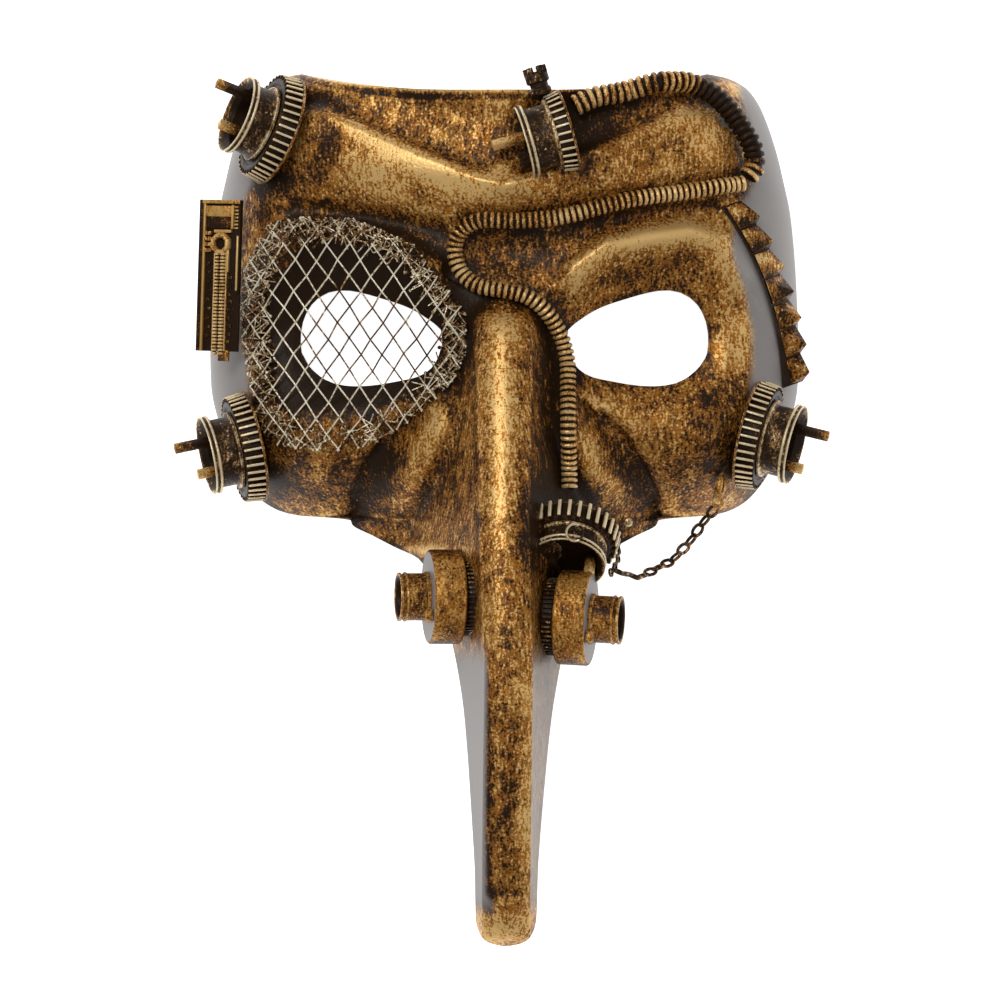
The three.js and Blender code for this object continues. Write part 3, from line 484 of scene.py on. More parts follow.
class Graph:
    """Adds nodes to a node tree and links their sockets."""

    def __init__(self, tree: bpy.types.NodeTree) -> None:
        """Works on one node tree."""
        self.tree = tree

    @staticmethod
    def _socket(sockets: Any, key: str | int) -> bpy.types.NodeSocket:
        """A socket by its number, identifier or name."""
        if isinstance(key, int):
            return sockets[key]
        return next((s for s in sockets if s.identifier == key), None) or sockets[key]

    def add(
        self, kind: str, settings: dict[str, Any] | None = None,
        inputs: dict[str | int, Any] | None = None,
    ) -> bpy.types.Node:
        """Adds a node.

        Args:
            kind: the node's type.
            settings: its own settings, set first.
            inputs: values or links of its input sockets.

        Returns:
            The new node.
        """
        node = self.tree.nodes.new(kind)
        for name, value in (settings or {}).items():
            setattr(node, name, value)
        for key, value in (inputs or {}).items():
            socket = self._socket(node.inputs, key)
            if isinstance(value, (list, tuple)) and value and isinstance(value[0], bpy.types.NodeSocket):
                for each in value:
                    self.tree.links.new(each, socket)
            elif isinstance(value, Term):
                self.tree.links.new(value.socket, socket)
            elif isinstance(value, bpy.types.NodeSocket):
                self.tree.links.new(value, socket)
            else:
                socket.default_value = value
        return node

    def output(self, node: bpy.types.Node, key: str | int = 0) -> Term:
        """An output socket of a node as a term."""
        return Term(self, self._socket(node.outputs, key))

    def smooth(self, value: Term, low: float, high: float) -> Term:
        """A smooth step of a value from 0 at low to 1 at high."""
        settings = {"interpolation_type": "SMOOTHSTEP"}
        node = self.add("ShaderNodeMapRange", settings, {0: value, 1: low, 2: high})
        return self.output(node)

    def blend(self, share: Term, first: Any, second: Any) -> bpy.types.NodeSocket:
        """A mix of two colours."""
        inputs = {"Factor_Float": share, "A_Color": first, "B_Color": second}
        node = self.add("ShaderNodeMix", {"data_type": "RGBA"}, inputs)
        return self._socket(node.outputs, "Result_Color")


def rgba(colour: Colour) -> tuple[float, float, float, float]:
    """A colour with full alpha."""
    return (*colour, 1.0)


@dataclass(frozen=True)
class DryBrushed:
    """Black plastic with a brown wash, dry-brushed gold and a bright last coat on what stands out; the bright
    coat also gives painted highlights, and unpainted plastic is grey as a painted reflection.

    A pair of numbers is the amount of paint at which a coat starts to show and the amount that covers.
    """

    name: str
    reach: float = 0.58
    edge: float = 0.55
    patchy: float = 0.9
    black: Colour = (0.006, 0.0035, 0.002)
    dark: Colour = (0.02, 0.009, 0.003)
    wash: Colour = (0.05, 0.02, 0.006)
    brown: Colour = (0.2, 0.075, 0.012)
    gold: Colour = (0.43, 0.2, 0.04)
    warm: Colour = (0.38, 0.14, 0.016)
    bright: Colour = (0.7, 0.45, 0.17)
    # Grey of the unpainted plastic, standing for a painted reflection of the pale surroundings.
    bare: Colour = (0.26, 0.24, 0.23)
    wash_at: Row = (-0.25, 0.15)
    brown_at: Row = (0.0, 0.45)
    gold_at: Row = (0.25, 0.95)
    warm_at: Row = (-0.12, 0.12)
    missed_at: Row = (0.42, -0.1)
    bright_at: Row = (0.82, 1.2)
    grain_mm: float = 0.7
    smear_mm: float = 3.5
    blotch_mm: float = 15.0
    drawn_out: float = 3.2
    speckled: float = 3.0
    streaked: float = 2.8
    smeared: float = 1.7
    metal: float = 0.5
    gloss: float = 0.12
    roughness: float = 0.42
    bump_mm: float = 0.14

    def build(self) -> bpy.types.Material:
        """Builds the material.

        Returns:
            A procedural material that reads Object coordinates and the piece's own attributes.
        """
        material = bpy.data.materials.new(self.name)
        material.use_nodes = True
        material.node_tree.nodes.clear()
        graph = Graph(material.node_tree)
        place = graph.add("ShaderNodeTexCoord").outputs["Object"]

        def texture(size_mm: float, stretch: float, detail: float) -> Term:
            """Noise of a grain size about nought, drawn out up the face."""
            squash = {"Vector": place, "Scale": (1.0, 1.0 / stretch, 1.0)}
            mapped = graph.add("ShaderNodeMapping", {}, squash).outputs[0]
            inputs = {"Vector": mapped, "Scale": 1.0 / (size_mm * MM), "Detail": detail}
            node = graph.add("ShaderNodeTexNoise", {"noise_dimensions": "3D"}, inputs)
            return graph.output(node, "Fac") - 0.5

        def own(name: str) -> Term:
            """An attribute of the piece."""
            return graph.output(graph.add("ShaderNodeAttribute", {"attribute_name": name}), "Fac")

        speck = texture(self.grain_mm, 1.0, 3.0) * self.speckled
        grain = speck + texture(self.grain_mm * 1.2, self.drawn_out, 3.0) * self.streaked
        smear = texture(self.smear_mm, 1.6, 4.0) * self.smeared
        blotch = texture(self.blotch_mm, 1.3, 3.0) * self.patchy
        tint = texture(self.blotch_mm * 0.6, 1.0, 2.0)
        # The brushing attribute holds real brush coverage together with painted highlights and painted shade.
        paint = self.reach + blotch + own("wear") * self.edge + own("brushed")
        cover, fleck = paint + smear + grain * 0.45, paint + grain + smear * 0.4
        gold, bare = graph.smooth(cover, *self.gold_at), own("bare")
        coat = graph.blend(graph.smooth(tint, *self.warm_at), rgba(self.gold), rgba(self.warm))
        colour: Any = rgba(self.black)
        for share, over in (
            (graph.smooth(cover, *self.wash_at), rgba(self.wash)),
            (graph.smooth(cover, *self.brown_at), rgba(self.brown)),
            (gold, coat),
            (graph.smooth(fleck, *self.missed_at), rgba(self.dark)),
            (graph.smooth(fleck, *self.bright_at), rgba(self.bright)),
            (bare, rgba(self.bare)),
        ):
            colour = graph.blend(share, colour, over)
        kept = 1.0 - bare
        relief = {"Distance": self.bump_mm * MM, "Height": (gold * 0.6 + grain * 0.4) * kept}
        bump = graph.add("ShaderNodeBump", {}, {"Strength": 0.6, **relief})
        shader = graph.add("ShaderNodeBsdfPrincipled", {}, {
            "Base Color": colour,
            "Metallic": gold * kept * self.metal,
            "Specular IOR Level": self.gloss,
            "Roughness": self.roughness + (speck * 0.12 - gold * 0.02) * kept,
            "Normal": bump.outputs[0],
        })
        graph.add("ShaderNodeOutputMaterial", {}, {"Surface": shader.outputs[0]})
        return material


def evaluated(start: bpy.types.Object) -> bpy.types.Mesh:
    """The mesh of an object with its modifiers applied; the object is deleted."""
    graph = bpy.context.evaluated_depsgraph_get()
    graph.update()
    mesh = bpy.data.meshes.new_from_object(start.evaluated_get(graph), depsgraph=graph)
    bpy.data.objects.remove(start)
    return mesh


class PatternTree:
    """A tree of geometry steps with named inputs, run on an object."""

    def __init__(self, name: str, sizes: Sequence[str], counts: Sequence[str] = ()) -> None:
        """Makes the tree with its inputs and has it filled.

        Args:
            name: the tree's name.
            sizes: its inputs that are lengths.
            counts: its inputs that are whole numbers.
        """
        self.tree = bpy.data.node_groups.new(name, "GeometryNodeTree")
        kinds = {"Geometry": "Geometry"} | dict.fromkeys(sizes, "Float") | dict.fromkeys(counts, "Int")
        for each, kind in (kinds | {"Material": "Material"}).items():
            self.tree.interface.new_socket(name=each, in_out="INPUT", socket_type=f"NodeSocket{kind}")
        self.tree.interface.new_socket(name="Geometry", in_out="OUTPUT", socket_type="NodeSocketGeometry")
        self.graph = Graph(self.tree)
        self.entry = self.tree.nodes.new("NodeGroupInput")
        real = self.first("GeometryNodeRealizeInstances", {"Geometry": self.made()})
        smooth = self.first("GeometryNodeSetShadeSmooth", {"Geometry": real})
        painted = {"Geometry": smooth, "Material": self.given("Material")}
        self.graph.add("NodeGroupOutput", {}, {"Geometry": self.first("GeometryNodeSetMaterial", painted)})

    def made(self) -> Any:
        """Adds the tree's own nodes and gives back the geometry they make."""
        raise NotImplementedError

    def given(self, name: str) -> Term:
        """One of the tree's inputs."""
        return Term(self.graph, self.entry.outputs[name])

    def first(self, kind: str, inputs: dict[Any, Any] | None = None, **settings: Any) -> Any:
        """The first output of a new node."""
        return self.graph.add(kind, settings, inputs).outputs[0]

    def circle(self, points: int, radius: Any) -> Any:
        """A circle."""
        inputs = {"Resolution": points, "Radius": radius}
        return self.first("GeometryNodeCurvePrimitiveCircle", inputs, mode="RADIUS")

    def swept(self, curve: Any, profile: Any, capped: bool = False) -> Any:
        """A profile swept along a curve."""
        inputs = {"Curve": curve, "Profile Curve": profile, "Fill Caps": capped}
        return self.first("GeometryNodeCurveToMesh", inputs)

    def path(self) -> Any:
        """The edges of the geometry as curves."""
        return self.first("GeometryNodeMeshToCurve", {"Mesh": self.given("Geometry")})

    def spaced(self) -> bpy.types.Node:
        """Places one pitch apart along the path."""
        inputs = {"Curve": self.path(), "Length": self.given("Pitch")}
        return self.graph.add("GeometryNodeCurveToPoints", {"mode": "LENGTH"}, inputs)

    def turned_about_z(self, angle: Term) -> Any:
        """A rotation about Z."""
        return self.first("FunctionNodeAxisAngleToRotation", {"Axis": (0.0, 0.0, 1.0), "Angle": angle})

    def copies(self, points: Any, piece: Any, **more: Any) -> Any:
        """Copies of a piece on points."""
        return self.first("GeometryNodeInstanceOnPoints", {"Points": points, "Instance": piece, **more})

    def worn(self, geometry: Any, value: Any) -> Any:
        """The geometry with a value stored as its attribute "wear"."""
        inputs = {"Geometry": geometry, "Name": "wear", "Value": value}
        return self.first("GeometryNodeStoreNamedAttribute", inputs, data_type="FLOAT", domain="POINT")

    def run(self, start: bpy.types.Object, values: dict[str, Any]) -> bpy.types.Mesh:
        """Runs the tree on an object and gives back the plain mesh.

        Args:
            start: the object that the tree reads; it is deleted afterwards.
            values: the tree's inputs by name.

        Returns:
            The finished mesh.
        """
        modifier = start.modifiers.new(self.tree.name, "NODES")
        modifier.node_group = self.tree
        for item in self.tree.interface.items_tree:
            if item.in_out == "INPUT" and item.name in values:
                modifier[item.identifier] = values[item.name]
        return evaluated(start)


class RibbedHose(PatternTree):
    """Round ribs strung on a core along a path."""

    def made(self) -> Any:
        """Adds the ribs, worn on their crests, and the core."""
        rib, outside, spots = self.given("Rib"), self.given("Radius"), self.spaced()
        middle = outside - rib
        out = self.graph.add("ShaderNodeVectorMath", {"operation": "LENGTH"}, {
            0: self.first("GeometryNodeInputPosition"),
        })
        crest = self.first("ShaderNodeMapRange", {
            "Value": out.outputs["Value"], "From Min": middle, "From Max": outside, "To Min": -1.6,
            "To Max": 1.0,
        })
        ring = self.worn(self.swept(self.circle(18, middle), self.circle(8, rib)), crest)
        ribs = self.copies(spots.outputs["Points"], ring, Rotation=spots.outputs["Rotation"])
        core = self.worn(self.swept(self.path(), self.circle(18, middle), capped=True), -1.0)
        return self.first("GeometryNodeJoinGeometry", {0: [ribs, core]})


class LinkChain(PatternTree):
    """Oval links along a path, each turned from the last."""

    def made(self) -> Any:
        """Adds a link and its copies."""
        wire, spots = self.given("Wire"), self.spaced()
        scale = self.first("ShaderNodeCombineXYZ", {
            "X": self.given("Width") * 0.5 - wire, "Y": self.given("Length") * 0.5 - wire, "Z": 1.0,
        })
        oval = self.first("GeometryNodeTransform", {
            "Geometry": self.circle(20, 1.0), "Scale": scale, "Rotation": (math.pi / 2, 0.0, 0.0),
        })
        index = self.graph.output(self.graph.add("GeometryNodeInputIndex"))
        odd = self.graph.output(self.graph.add("ShaderNodeMath", {"operation": "MODULO"}, {0: index, 1: 2.0}))
        rolled = self.first("FunctionNodeRotateRotation", {
            "Rotation": spots.outputs["Rotation"], "Rotate By": self.turned_about_z(odd * 0.5 + 0.6),
        }, rotation_space="LOCAL")
        return self.copies(spots.outputs["Points"], self.swept(oval, self.circle(8, wire)), Rotation=rolled)


class RingOfBars(PatternTree):
    """Copies of a bar set round a circle about Z."""

    def made(self) -> Any:
        """Adds the circle and the bars on it."""
        count = self.given("Count")
        inputs = {"Vertices": count, "Radius": self.given("Radius")}
        index = self.graph.output(self.graph.add("GeometryNodeInputIndex"))
        share = self.graph.add("ShaderNodeMath", {"operation": "DIVIDE"}, {0: index, 1: count})
        turn = self.turned_about_z(self.graph.output(share) * (2 * math.pi))
        circle = self.first("GeometryNodeMeshCircle", inputs)
        return self.copies(circle, self.given("Geometry"), Rotation=turn)


class WireNet(PatternTree):
    """Wires along the edges of a mesh, with drops of paint where they cross."""

    def made(self) -> Any:
        """Adds the wires and the drops."""
        wires = self.swept(self.path(), self.circle(7, self.given("Wire")), capped=True)
        ball = self.first("GeometryNodeMeshIcoSphere", {"Radius": 1.0, "Subdivisions": 2})
        clotted = self.first("GeometryNodeInputNamedAttribute", {"Name": "drop"}, data_type="FLOAT")
        size = self.graph.add("FunctionNodeRandomValue", {"data_type": "FLOAT"}, {
            "Min_001": self.given("Least drop"), "Max_001": self.given("Largest drop"),
            "Seed": self.given("Seed"),
        })
        drops = self.copies(self.given("Geometry"), ball, Selection=clotted,
                            Scale=self.graph.output(size, "Value_001"))
        return self.first("GeometryNodeJoinGeometry", {0: [wires, drops]})


@dataclass(frozen=True)
class Finish:
    """How a piece is finished once its form is made."""

    bevel: float = 0.0
    smoothing: int = 0
    sharp: float = 40.0
    settled: bool = True
    wear: float = 1.0
    hollows: float = 1.0


def linked(name: str, data: Any) -> bpy.types.Object:
    """A new object of the scene."""
    made = bpy.data.objects.new(name, data)
    bpy.context.scene.collection.objects.link(made)
    return made


def write_marks(mesh: bpy.types.Mesh, marks: dict[str, Any]) -> None:
    """Writes values at a mesh's points as its attributes."""
    for name, values in marks.items():
        mesh.attributes.new(name, "FLOAT", "POINT").data.foreach_set("value", values)


def bevelled(start: bpy.types.Object, width: float) -> None:
    """Bevels the sharp edges of an object."""
    bevel = start.modifiers.new("edges", "BEVEL")
    bevel.width, bevel.segments = width * MM, 2
    bevel.limit_method, bevel.angle_limit = "ANGLE", math.radians(32)


class Workshop:
    """Turns forms into finished pieces that stand for the model's nodes."""

    in_wall = 0.6 * WALL
    over_rim = 7.0
    bulge_shows = 2.2

    def __init__(self, face: Face, paints: dict[Slot, bpy.types.Material]) -> None:
        """Finds how the mask's layout sits in the model's frame and makes the patterns.

        Args:
            face: the skin that pieces are settled on.
            paints: the material of each slot.
        """
        self.face, self.paints = face, paints
        low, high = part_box("mask_shell")
        self.shift = np.array([(low.x + high.x) / 2 / MM, low.y / MM - face.tip, 0.0])
        self.made = 0
        self.hose = RibbedHose("Ribbed hose", ("Radius", "Rib", "Pitch"))
        self.chain = LinkChain("Link chain", ("Length", "Width", "Wire", "Pitch"))
        self.bars = RingOfBars("Ring of bars", ("Radius",), ("Count",))
        self.net = WireNet("Wire net", ("Wire", "Least drop", "Largest drop"), ("Seed",))

    def to_model(self, points: np.ndarray) -> np.ndarray:
        """Millimetres of the layout as metres of the model's frame."""
        return (points + self.shift) * MM

    def layout_of(self, mesh: bpy.types.Mesh) -> np.ndarray:
        """The points of a mesh in millimetres of the layout."""
        co = np.empty(len(mesh.vertices) * 3)
        mesh.vertices.foreach_get("co", co)
        return co.reshape(-1, 3) / MM - self.shift

    def object_of(
        self, name: str, points: np.ndarray, edges: Any, faces: Any,
        marks: dict[str, np.ndarray] | None = None,
    ) -> bpy.types.Object:
        """A linked object with a mesh of points given in the layout."""
        mesh = bpy.data.meshes.new(name)
        mesh.from_pydata(self.to_model(points).tolist(), edges, faces)
        mesh.update()
        write_marks(mesh, marks or {})
        return linked(name, mesh)

    def settle(self, mesh: bpy.types.Mesh) -> None:
        """Lifts what lies deep under the skin into the thickness of its wall."""
        points = self.layout_of(mesh)
        a, y = np.abs(points[:, 0]), points[:, 1]
        over = (a < self.face.half_width(y)) & (y > self.face.tip) & (y < self.face.top + self.over_rim)
        floor = self.face.skin(points[:, 0], y) - self.in_wall
        points[:, 2] = np.where(over, np.maximum(points[:, 2], floor), points[:, 2])
        mesh.vertices.foreach_set("co", self.to_model(points).ravel())
        mesh.update()

    def mark_wear(self, mesh: bpy.types.Mesh, how: Finish) -> None:
        """Writes how far each point stands out from its neighbours as the attribute "wear"."""
        count = len(mesh.vertices)
        co, normals = np.empty(count * 3), np.empty(count * 3)
        mesh.vertices.foreach_get("co", co)
        mesh.vertex_normals.foreach_get("vector", normals)
        co, normals = co.reshape(-1, 3), normals.reshape(-1, 3)
        edges = np.empty(len(mesh.edges) * 2, np.int64)
        mesh.edges.foreach_get("vertices", edges)
        first, second = edges.reshape(-1, 2).T
        step = co[second] - co[first]
        step /= np.maximum(np.linalg.norm(step, axis=1, keepdims=True), 1e-9)
        total, uses = np.zeros(count), np.zeros(count)
        for ends, towards in ((first, -step), (second, step)):
            np.add.at(total, ends, (normals[ends] * towards).sum(1))
            np.add.at(uses, ends, 1.0)
        bulge = np.clip(total / np.maximum(uses, 1.0) * self.bulge_shows, -1.0, 1.0) * how.wear
        write_marks(mesh, {"wear": np.where(bulge < 0.0, bulge * how.hollows, bulge)})

    def publish(
        self, name: str, mesh: bpy.types.Mesh, slot: Slot, nodes: Sequence[str], how: Finish
    ) -> None:
        """Makes a finished mesh a piece of the model.

        Args:
            name: the piece's name.
            mesh: its mesh, in the model's frame.
            slot: its material slot.
            nodes: the nodes that it stands for.
            how: its smoothing and wear.
        """
        if how.settled:
            self.settle(mesh)
        mesh.polygons.foreach_set("use_smooth", [True] * len(mesh.polygons))
        mesh.set_sharp_from_angle(angle=math.radians(how.sharp))
        if "wear" not in mesh.attributes:
            self.mark_wear(mesh, how)
        mesh.materials.clear()
        mesh.materials.append(self.paints[slot])
        mesh.name = name
        made = linked(name, mesh)
        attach(made, "root")
        if nodes:
            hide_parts(*nodes)
        self.made += 1
        log.info("%s: %d faces, stands for %s", name, len(mesh.polygons), ", ".join(nodes) or "none")

    def piece(
        self, name: str, form: Form, slot: Slot, nodes: Sequence[str], how: Finish = Finish()
    ) -> None:
        """Makes a piece from its form.

        Args:
            name: the piece's name.
            form: its points and faces, in the layout.
            slot: its material slot.
            nodes: the nodes that it stands for.
            how: its bevel, smoothing and wear.
        """
        start = self.object_of(name, form.points, [], form.faces, form.marks)
        if how.bevel:
            bevelled(start, how.bevel)
        if how.smoothing:
            smooth = start.modifiers.new("smooth", "SUBSURF")
            smooth.levels = smooth.render_levels = how.smoothing
        self.publish(name, evaluated(start), slot, nodes, how)

    def patterned(
        self, start: bpy.types.Object, tree: PatternTree, slot: Slot, sizes: dict[str, float],
        counts: dict[str, int] | None = None,
    ) -> bpy.types.Mesh:
        """What a tree makes of an object, for sizes in millimetres."""
        inputs = {name: size * MM for name, size in sizes.items()} | (counts or {})
        return tree.run(start, inputs | {"Material": self.paints[slot]})

    def strung(
        self, name: str, line: np.ndarray, tree: PatternTree, slot: Slot, sizes: dict[str, float]
    ) -> bpy.types.Mesh:
        """What a tree strings along a line of the layout."""
        edges = [(i, i + 1) for i in range(len(line) - 1)]
        return self.patterned(self.object_of(name, line, edges, []), tree, slot, sizes)

    def ring_of_bars(
        self, name: str, bar: Form, bevel: float, radius: float, count: int, frame: Matrix, slot: Slot,
        node: str, how: Finish = Finish(),
    ) -> None:
        """Makes a piece of copies of a bar set round an axis.

        Args:
            name: the piece's name.
            bar: one bar, whose origin is put on the circle.
            bevel: width of its bevels.
            radius: the circle's radius.
            count: how many bars there are.
            frame: the axis's frame.
            slot: the piece's material slot.
            node: the node that it stands for.
            how: its wear and sharp edges.
        """
        start = self.object_of(name, bar.points - self.shift, [], bar.faces, bar.marks)
        bevelled(start, bevel)
        mesh = self.patterned(start, self.bars, slot, {"Radius": radius}, {"Count": count})
        placed = Matrix.Translation(Vector(self.shift) * MM) @ Matrix.Scale(MM, 4) @ frame
        mesh.transform(placed @ Matrix.Scale(1 / MM, 4))
        self.publish(name, mesh, slot, [node], how)


# Painted highlights (raised amounts) and painted shade (lowered amounts) on the face, mixed with some real
# tone of the paint.
LIGHT_SHADE_AND_TONE_PATCHES = (
    Mound((-24, 50.5), (17, 2.4), 0.7, -27),
    Mound((-1.4, 49.2), (4, 2.0), 0.5),
    Mound((-17, 66), (19, 6), 0.22, -6),
    Mound((-40, 47), (13, 6), 0.22, -10),
    Mound((-57, 56), (9, 18), -0.1),
    Mound((18, 52), (13, 12), -0.25),
    Mound((44, 60), (24, 12), -0.12),
    Mound((43, 37.5), (27, 3.6), -0.2, 5),
    Mound((44, 31), (15, 2.4), 0.5, 11),
    Mound((5, 25), (14, 11), 0.05),
    Mound((15, 30), (4, 4), -0.2),
    Mound((14.5, -25), (4, 36), -0.8, 0, 2.0),
    Mound((-13, 4), (5, 14), -0.6),
    Mound((-14, -45), (5, 22), -0.15),
    Mound((-0.8, -26), (2.0, 42), 0.15, 0, 1.5),
    Mound((6.8, -30), (3.8, 48), -0.6, 0, 1.5),
    Mound((-1, -173), (6, 5), 0.55),
    Mound((50, -34), (19, 15), -0.5),
    Mound((62, 36), (8, 12), 0.2),
    Mound((45, -19), (20, 4), 0.12),
    Mound((68, -3), (6, 18), 0.15),
    Mound((-52, -42), (14, 12), -0.2),
    Mound((-36, -48), (6, 11), -0.25),
    Mound((-19, -26), (3, 7), 0.45, 20),
    Mound((-7, -30), (2.8, 50), -0.4, 0, 1.5),
    Mound((0.6, -136), (2.4, 34), -0.35, 0, 1.5),
    Mound((-4.6, -138), (1.5, 38), -0.5, 0, 1.5),
    Mound((-5, -165), (3, 3), -0.6),
    Mound((7, -132), (2.6, 40), 0.35, 0, 1.5),
    Mound((6, -178), (4, 3), -0.4, 40),
    Mound((-15, 0), (6, 24), -0.3, 0, 1.5),
    Mound((-46, -40), (22, 11), -0.6),
    Mound((-72, -42), (10, 12), -0.3),
    Mound((-70, 40), (9, 14), -0.45),
    Mound((50, 34), (13, 5), 0.45, 8),
    Mound((63, -38), (14, 10), -0.4),
)
NET_SHADE = Mound((-46, 5), (33.5, 31), -1.2, 0, 5.0)
BARE_LEFT = [
    (74, 70), (56, 74), (48, 76), (38, 80), (0, 80), (-6, 77.5), (-17, 77), (-40, 84), (-56, 90),
]
BARE_RIGHT = [
    (74, 71.5), (60, 75), (48, 75), (40, 71), (27, 68.4), (12, 72.8), (-3, 74.9), (-15, 74.1),
    (-28, 76), (-40, 84), (-56, 90),
]


@dataclass
class MaskShell:
    """The moulding: a fine outer skin, a plainer inner skin, the cut edges and the eye holes.

    Beside the hoses, the wheels and the eye holes the paint is made darker as painted shade, and towards the
    cut sides it is made darker too; in each of those pairs of numbers the first is how much darker and the
    second how far out of it.
    """

    across: int = 262
    step: float = 0.85
    fine: int = 600
    crowding: float = 1.8
    rim_rows: Row = (73.0, 69.0)
    notch: Row = (-51.0, -57.0)
    notch_step: float = 0.3
    tip_from: float = -172.4
    tip_rows: int = 14
    coarser: int = 3
    eye: Row = (40.0, 34.0)
    crests: Sequence[tuple[float, float, float]] = ((2.0, 0.12, 0.55), (7.0, 1.2, 0.45))
    least_brushed: float = -0.62
    shade_by_hose: Row = (0.32, 2.6)
    shade_by_wheel: Row = (0.45, 8.0)
    shade_by_eye: Row = (0.25, 1.8)
    by_side: Row = (0.35, 2.5)
    rim_lit: float = 0.7
    rim_shade: float = 0.5
    # Uprightness under which each nose flank turns grey as a painted reflection, what it takes to be painted,
    # and how grey, for the left and the right flank.
    left_flank: tuple[float, float, float] = (0.72, 0.12, 1.0)
    right_flank: tuple[float, float, float] = (0.46, 0.34, 0.72)
    lining_coat: float = -1.5
    hoses: Sequence[Hose] = ()
    units: Sequence[GearUnit] = ()

    def rows(self, face: Face) -> np.ndarray:
        """Rows from the top rim to the tip, closer at the rim, the notch under the cheeks and the tip."""
        return np.concatenate([
            np.linspace(face.top, self.rim_rows[0], 5)[:-1],
            np.linspace(*self.rim_rows, 8)[:-1],
            np.arange(self.rim_rows[1], self.notch[0], -self.step),
            np.arange(self.notch[0], self.notch[1], -self.notch_step),
            np.arange(self.notch[1], self.tip_from + 0.4, -self.step),
            np.linspace(self.tip_from, face.tip, self.tip_rows),
        ])

    def lining_rows(self, rows: np.ndarray) -> list[int]:
        """The rows that the plainer inner skin keeps."""
        last = len(rows) - self.tip_rows
        in_notch = (rows < self.notch[0]) & (rows > self.notch[1])
        return [i for i in range(last) if in_notch[i] or i % self.coarser == 0 or i == last - 1]

    def grid(self, face: Face, rows: np.ndarray, across: int) -> np.ndarray:
        """Points of the skin, evenly spaced along each row.

        Args:
            face: the skin.
            rows: the rows to follow.
            across: points on each row.

        Returns:
            Points as rows by columns by three.
        """
        shares = np.linspace(-1.0, 1.0, self.fine)
        shares = np.sign(shares) * (1.0 - (1.0 - np.abs(shares)) ** self.crowding)
        places = np.empty((len(rows), across, 3))
        for i, row in enumerate(rows):
            x = shares * float(face.half_width(row)) + float(face.sway(row))
            z = np.maximum(face.on_row(x, np.full(self.fine, row)), 0.0)
            reach = np.concatenate([[0.0], np.cumsum(np.hypot(np.diff(x), np.diff(z)))])
            at = np.interp(np.linspace(0.0, reach[-1], across), reach, x)
            places[i, :, 0] = at
            places[i, :, 1] = row + face.lift(at, np.full(across, row))
            places[i, :, 2] = np.maximum(face.on_row(at, np.full(across, row)), 0.0)
        return places

    @staticmethod
    def normals(grid: np.ndarray) -> np.ndarray:
        """Unit normals of a grid of points, pointing up."""
        turn = np.cross(np.gradient(grid, axis=0), np.gradient(grid, axis=1))
        return turn / np.maximum(np.linalg.norm(turn, axis=2, keepdims=True), 1e-9)

    @staticmethod
    def blurred(values: np.ndarray, reach: int) -> np.ndarray:
        """A grid of values smoothed over a reach, twice each way."""
        kernel = np.exp(-((np.arange(-2 * reach, 2 * reach + 1) / reach) ** 2))
        kernel /= kernel.sum()
        for axis in (0, 1):
            pads = [(0, 0)] * values.ndim
            pads[axis] = (2 * reach, 2 * reach)
            padded = np.pad(values, pads, mode="edge")
            parts = [
                np.take(padded, range(k, k + values.shape[axis]), axis=axis) * share
                for k, share in enumerate(kernel)
            ]
            values = sum(parts)
        return values

    @staticmethod
    def hole(side: int, steps: int = 10) -> np.ndarray:
        """The eye hole's outline as a smooth closed line."""
        corners = np.array(EYE_HOLE) * (side, 1)
        line = []
        count = len(corners)
        for i in range(count):
            p0, p1, p2, p3 = (corners[(i + k - 1) % count] for k in range(4))
            for t in np.arange(steps) / steps:
                line.append(0.5 * (
                    2 * p1 + (p2 - p0) * t + (2 * p0 - 5 * p1 + 4 * p2 - p3) * t**2
                    + (3 * p1 - p0 - 3 * p2 + p3) * t**3
                ))
        return np.array(line)

    @staticmethod
    def inside(points: np.ndarray, outline: np.ndarray) -> np.ndarray:
        """Which points lie inside an outline."""
        x, y = points[:, 0], points[:, 1]
        within = np.zeros(len(points), bool)
        for (x0, y0), (x1, y1) in zip(np.roll(outline, 1, axis=0), outline):
            if y0 == y1:
                continue
            crosses = ((y1 > y) != (y0 > y)) & (x < (x0 - x1) * (y - y1) / (y0 - y1) + x1)
            within ^= crosses
        return within

    def cut(
        self, face: Face, grid: np.ndarray, sink: float
    ) -> tuple[np.ndarray, list[tuple[int, ...]], list[list[int]]]:
        """Cuts the eye holes in a skin.

        Args:
            face: the skin.
            grid: its points, as rows by columns by three.
            sink: how far this skin lies below the outer one.

        Returns:
            The points, the faces that are left and the edge line of each hole.
        """
        down, wide = grid.shape[:2]
        points = grid.reshape(-1, 3).copy()
        index = np.arange(down * wide).reshape(down, wide)
        quads = np.stack([index[:-1, :-1], index[1:, :-1], index[1:, 1:], index[:-1, 1:]], axis=-1)
        quads = quads.reshape(-1, 4)
        rims = []
        for side in (-1, 1):
            outline = self.hole(side)
            close = np.hypot(points[:, 0] - self.eye[0] * side, points[:, 1]) < self.eye[1]
            within = np.zeros(len(points), bool)
            within[close] = self.inside(points[close], outline)
            count = within[quads].sum(axis=1)
            kept = count < 4
            rim = np.unique(quads[kept & (count > 0)])
            rim = rim[within[rim]]
            starts, ends = outline, np.roll(outline, -1, axis=0)
            for v in rim:
                spot = points[v, :2]
                run = ends - starts
                t = np.clip(((spot - starts) * run).sum(1) / (run**2).sum(1), 0.0, 1.0)
                nearest = starts + run * t[:, None]
                points[v, :2] = nearest[np.argmin(np.hypot(*(nearest - spot).T))]
            points[rim, 2] = face.skin(points[rim, 0], points[rim, 1]) - sink
            middle = outline.mean(axis=0)
            turn = np.arctan2(points[rim, 1] - middle[1], points[rim, 0] - middle[0])
            rims.append(self.edge_line(quads[kept], rim, turn))
            quads = quads[kept]
        return points, [tuple(q) for q in quads.tolist()], rims

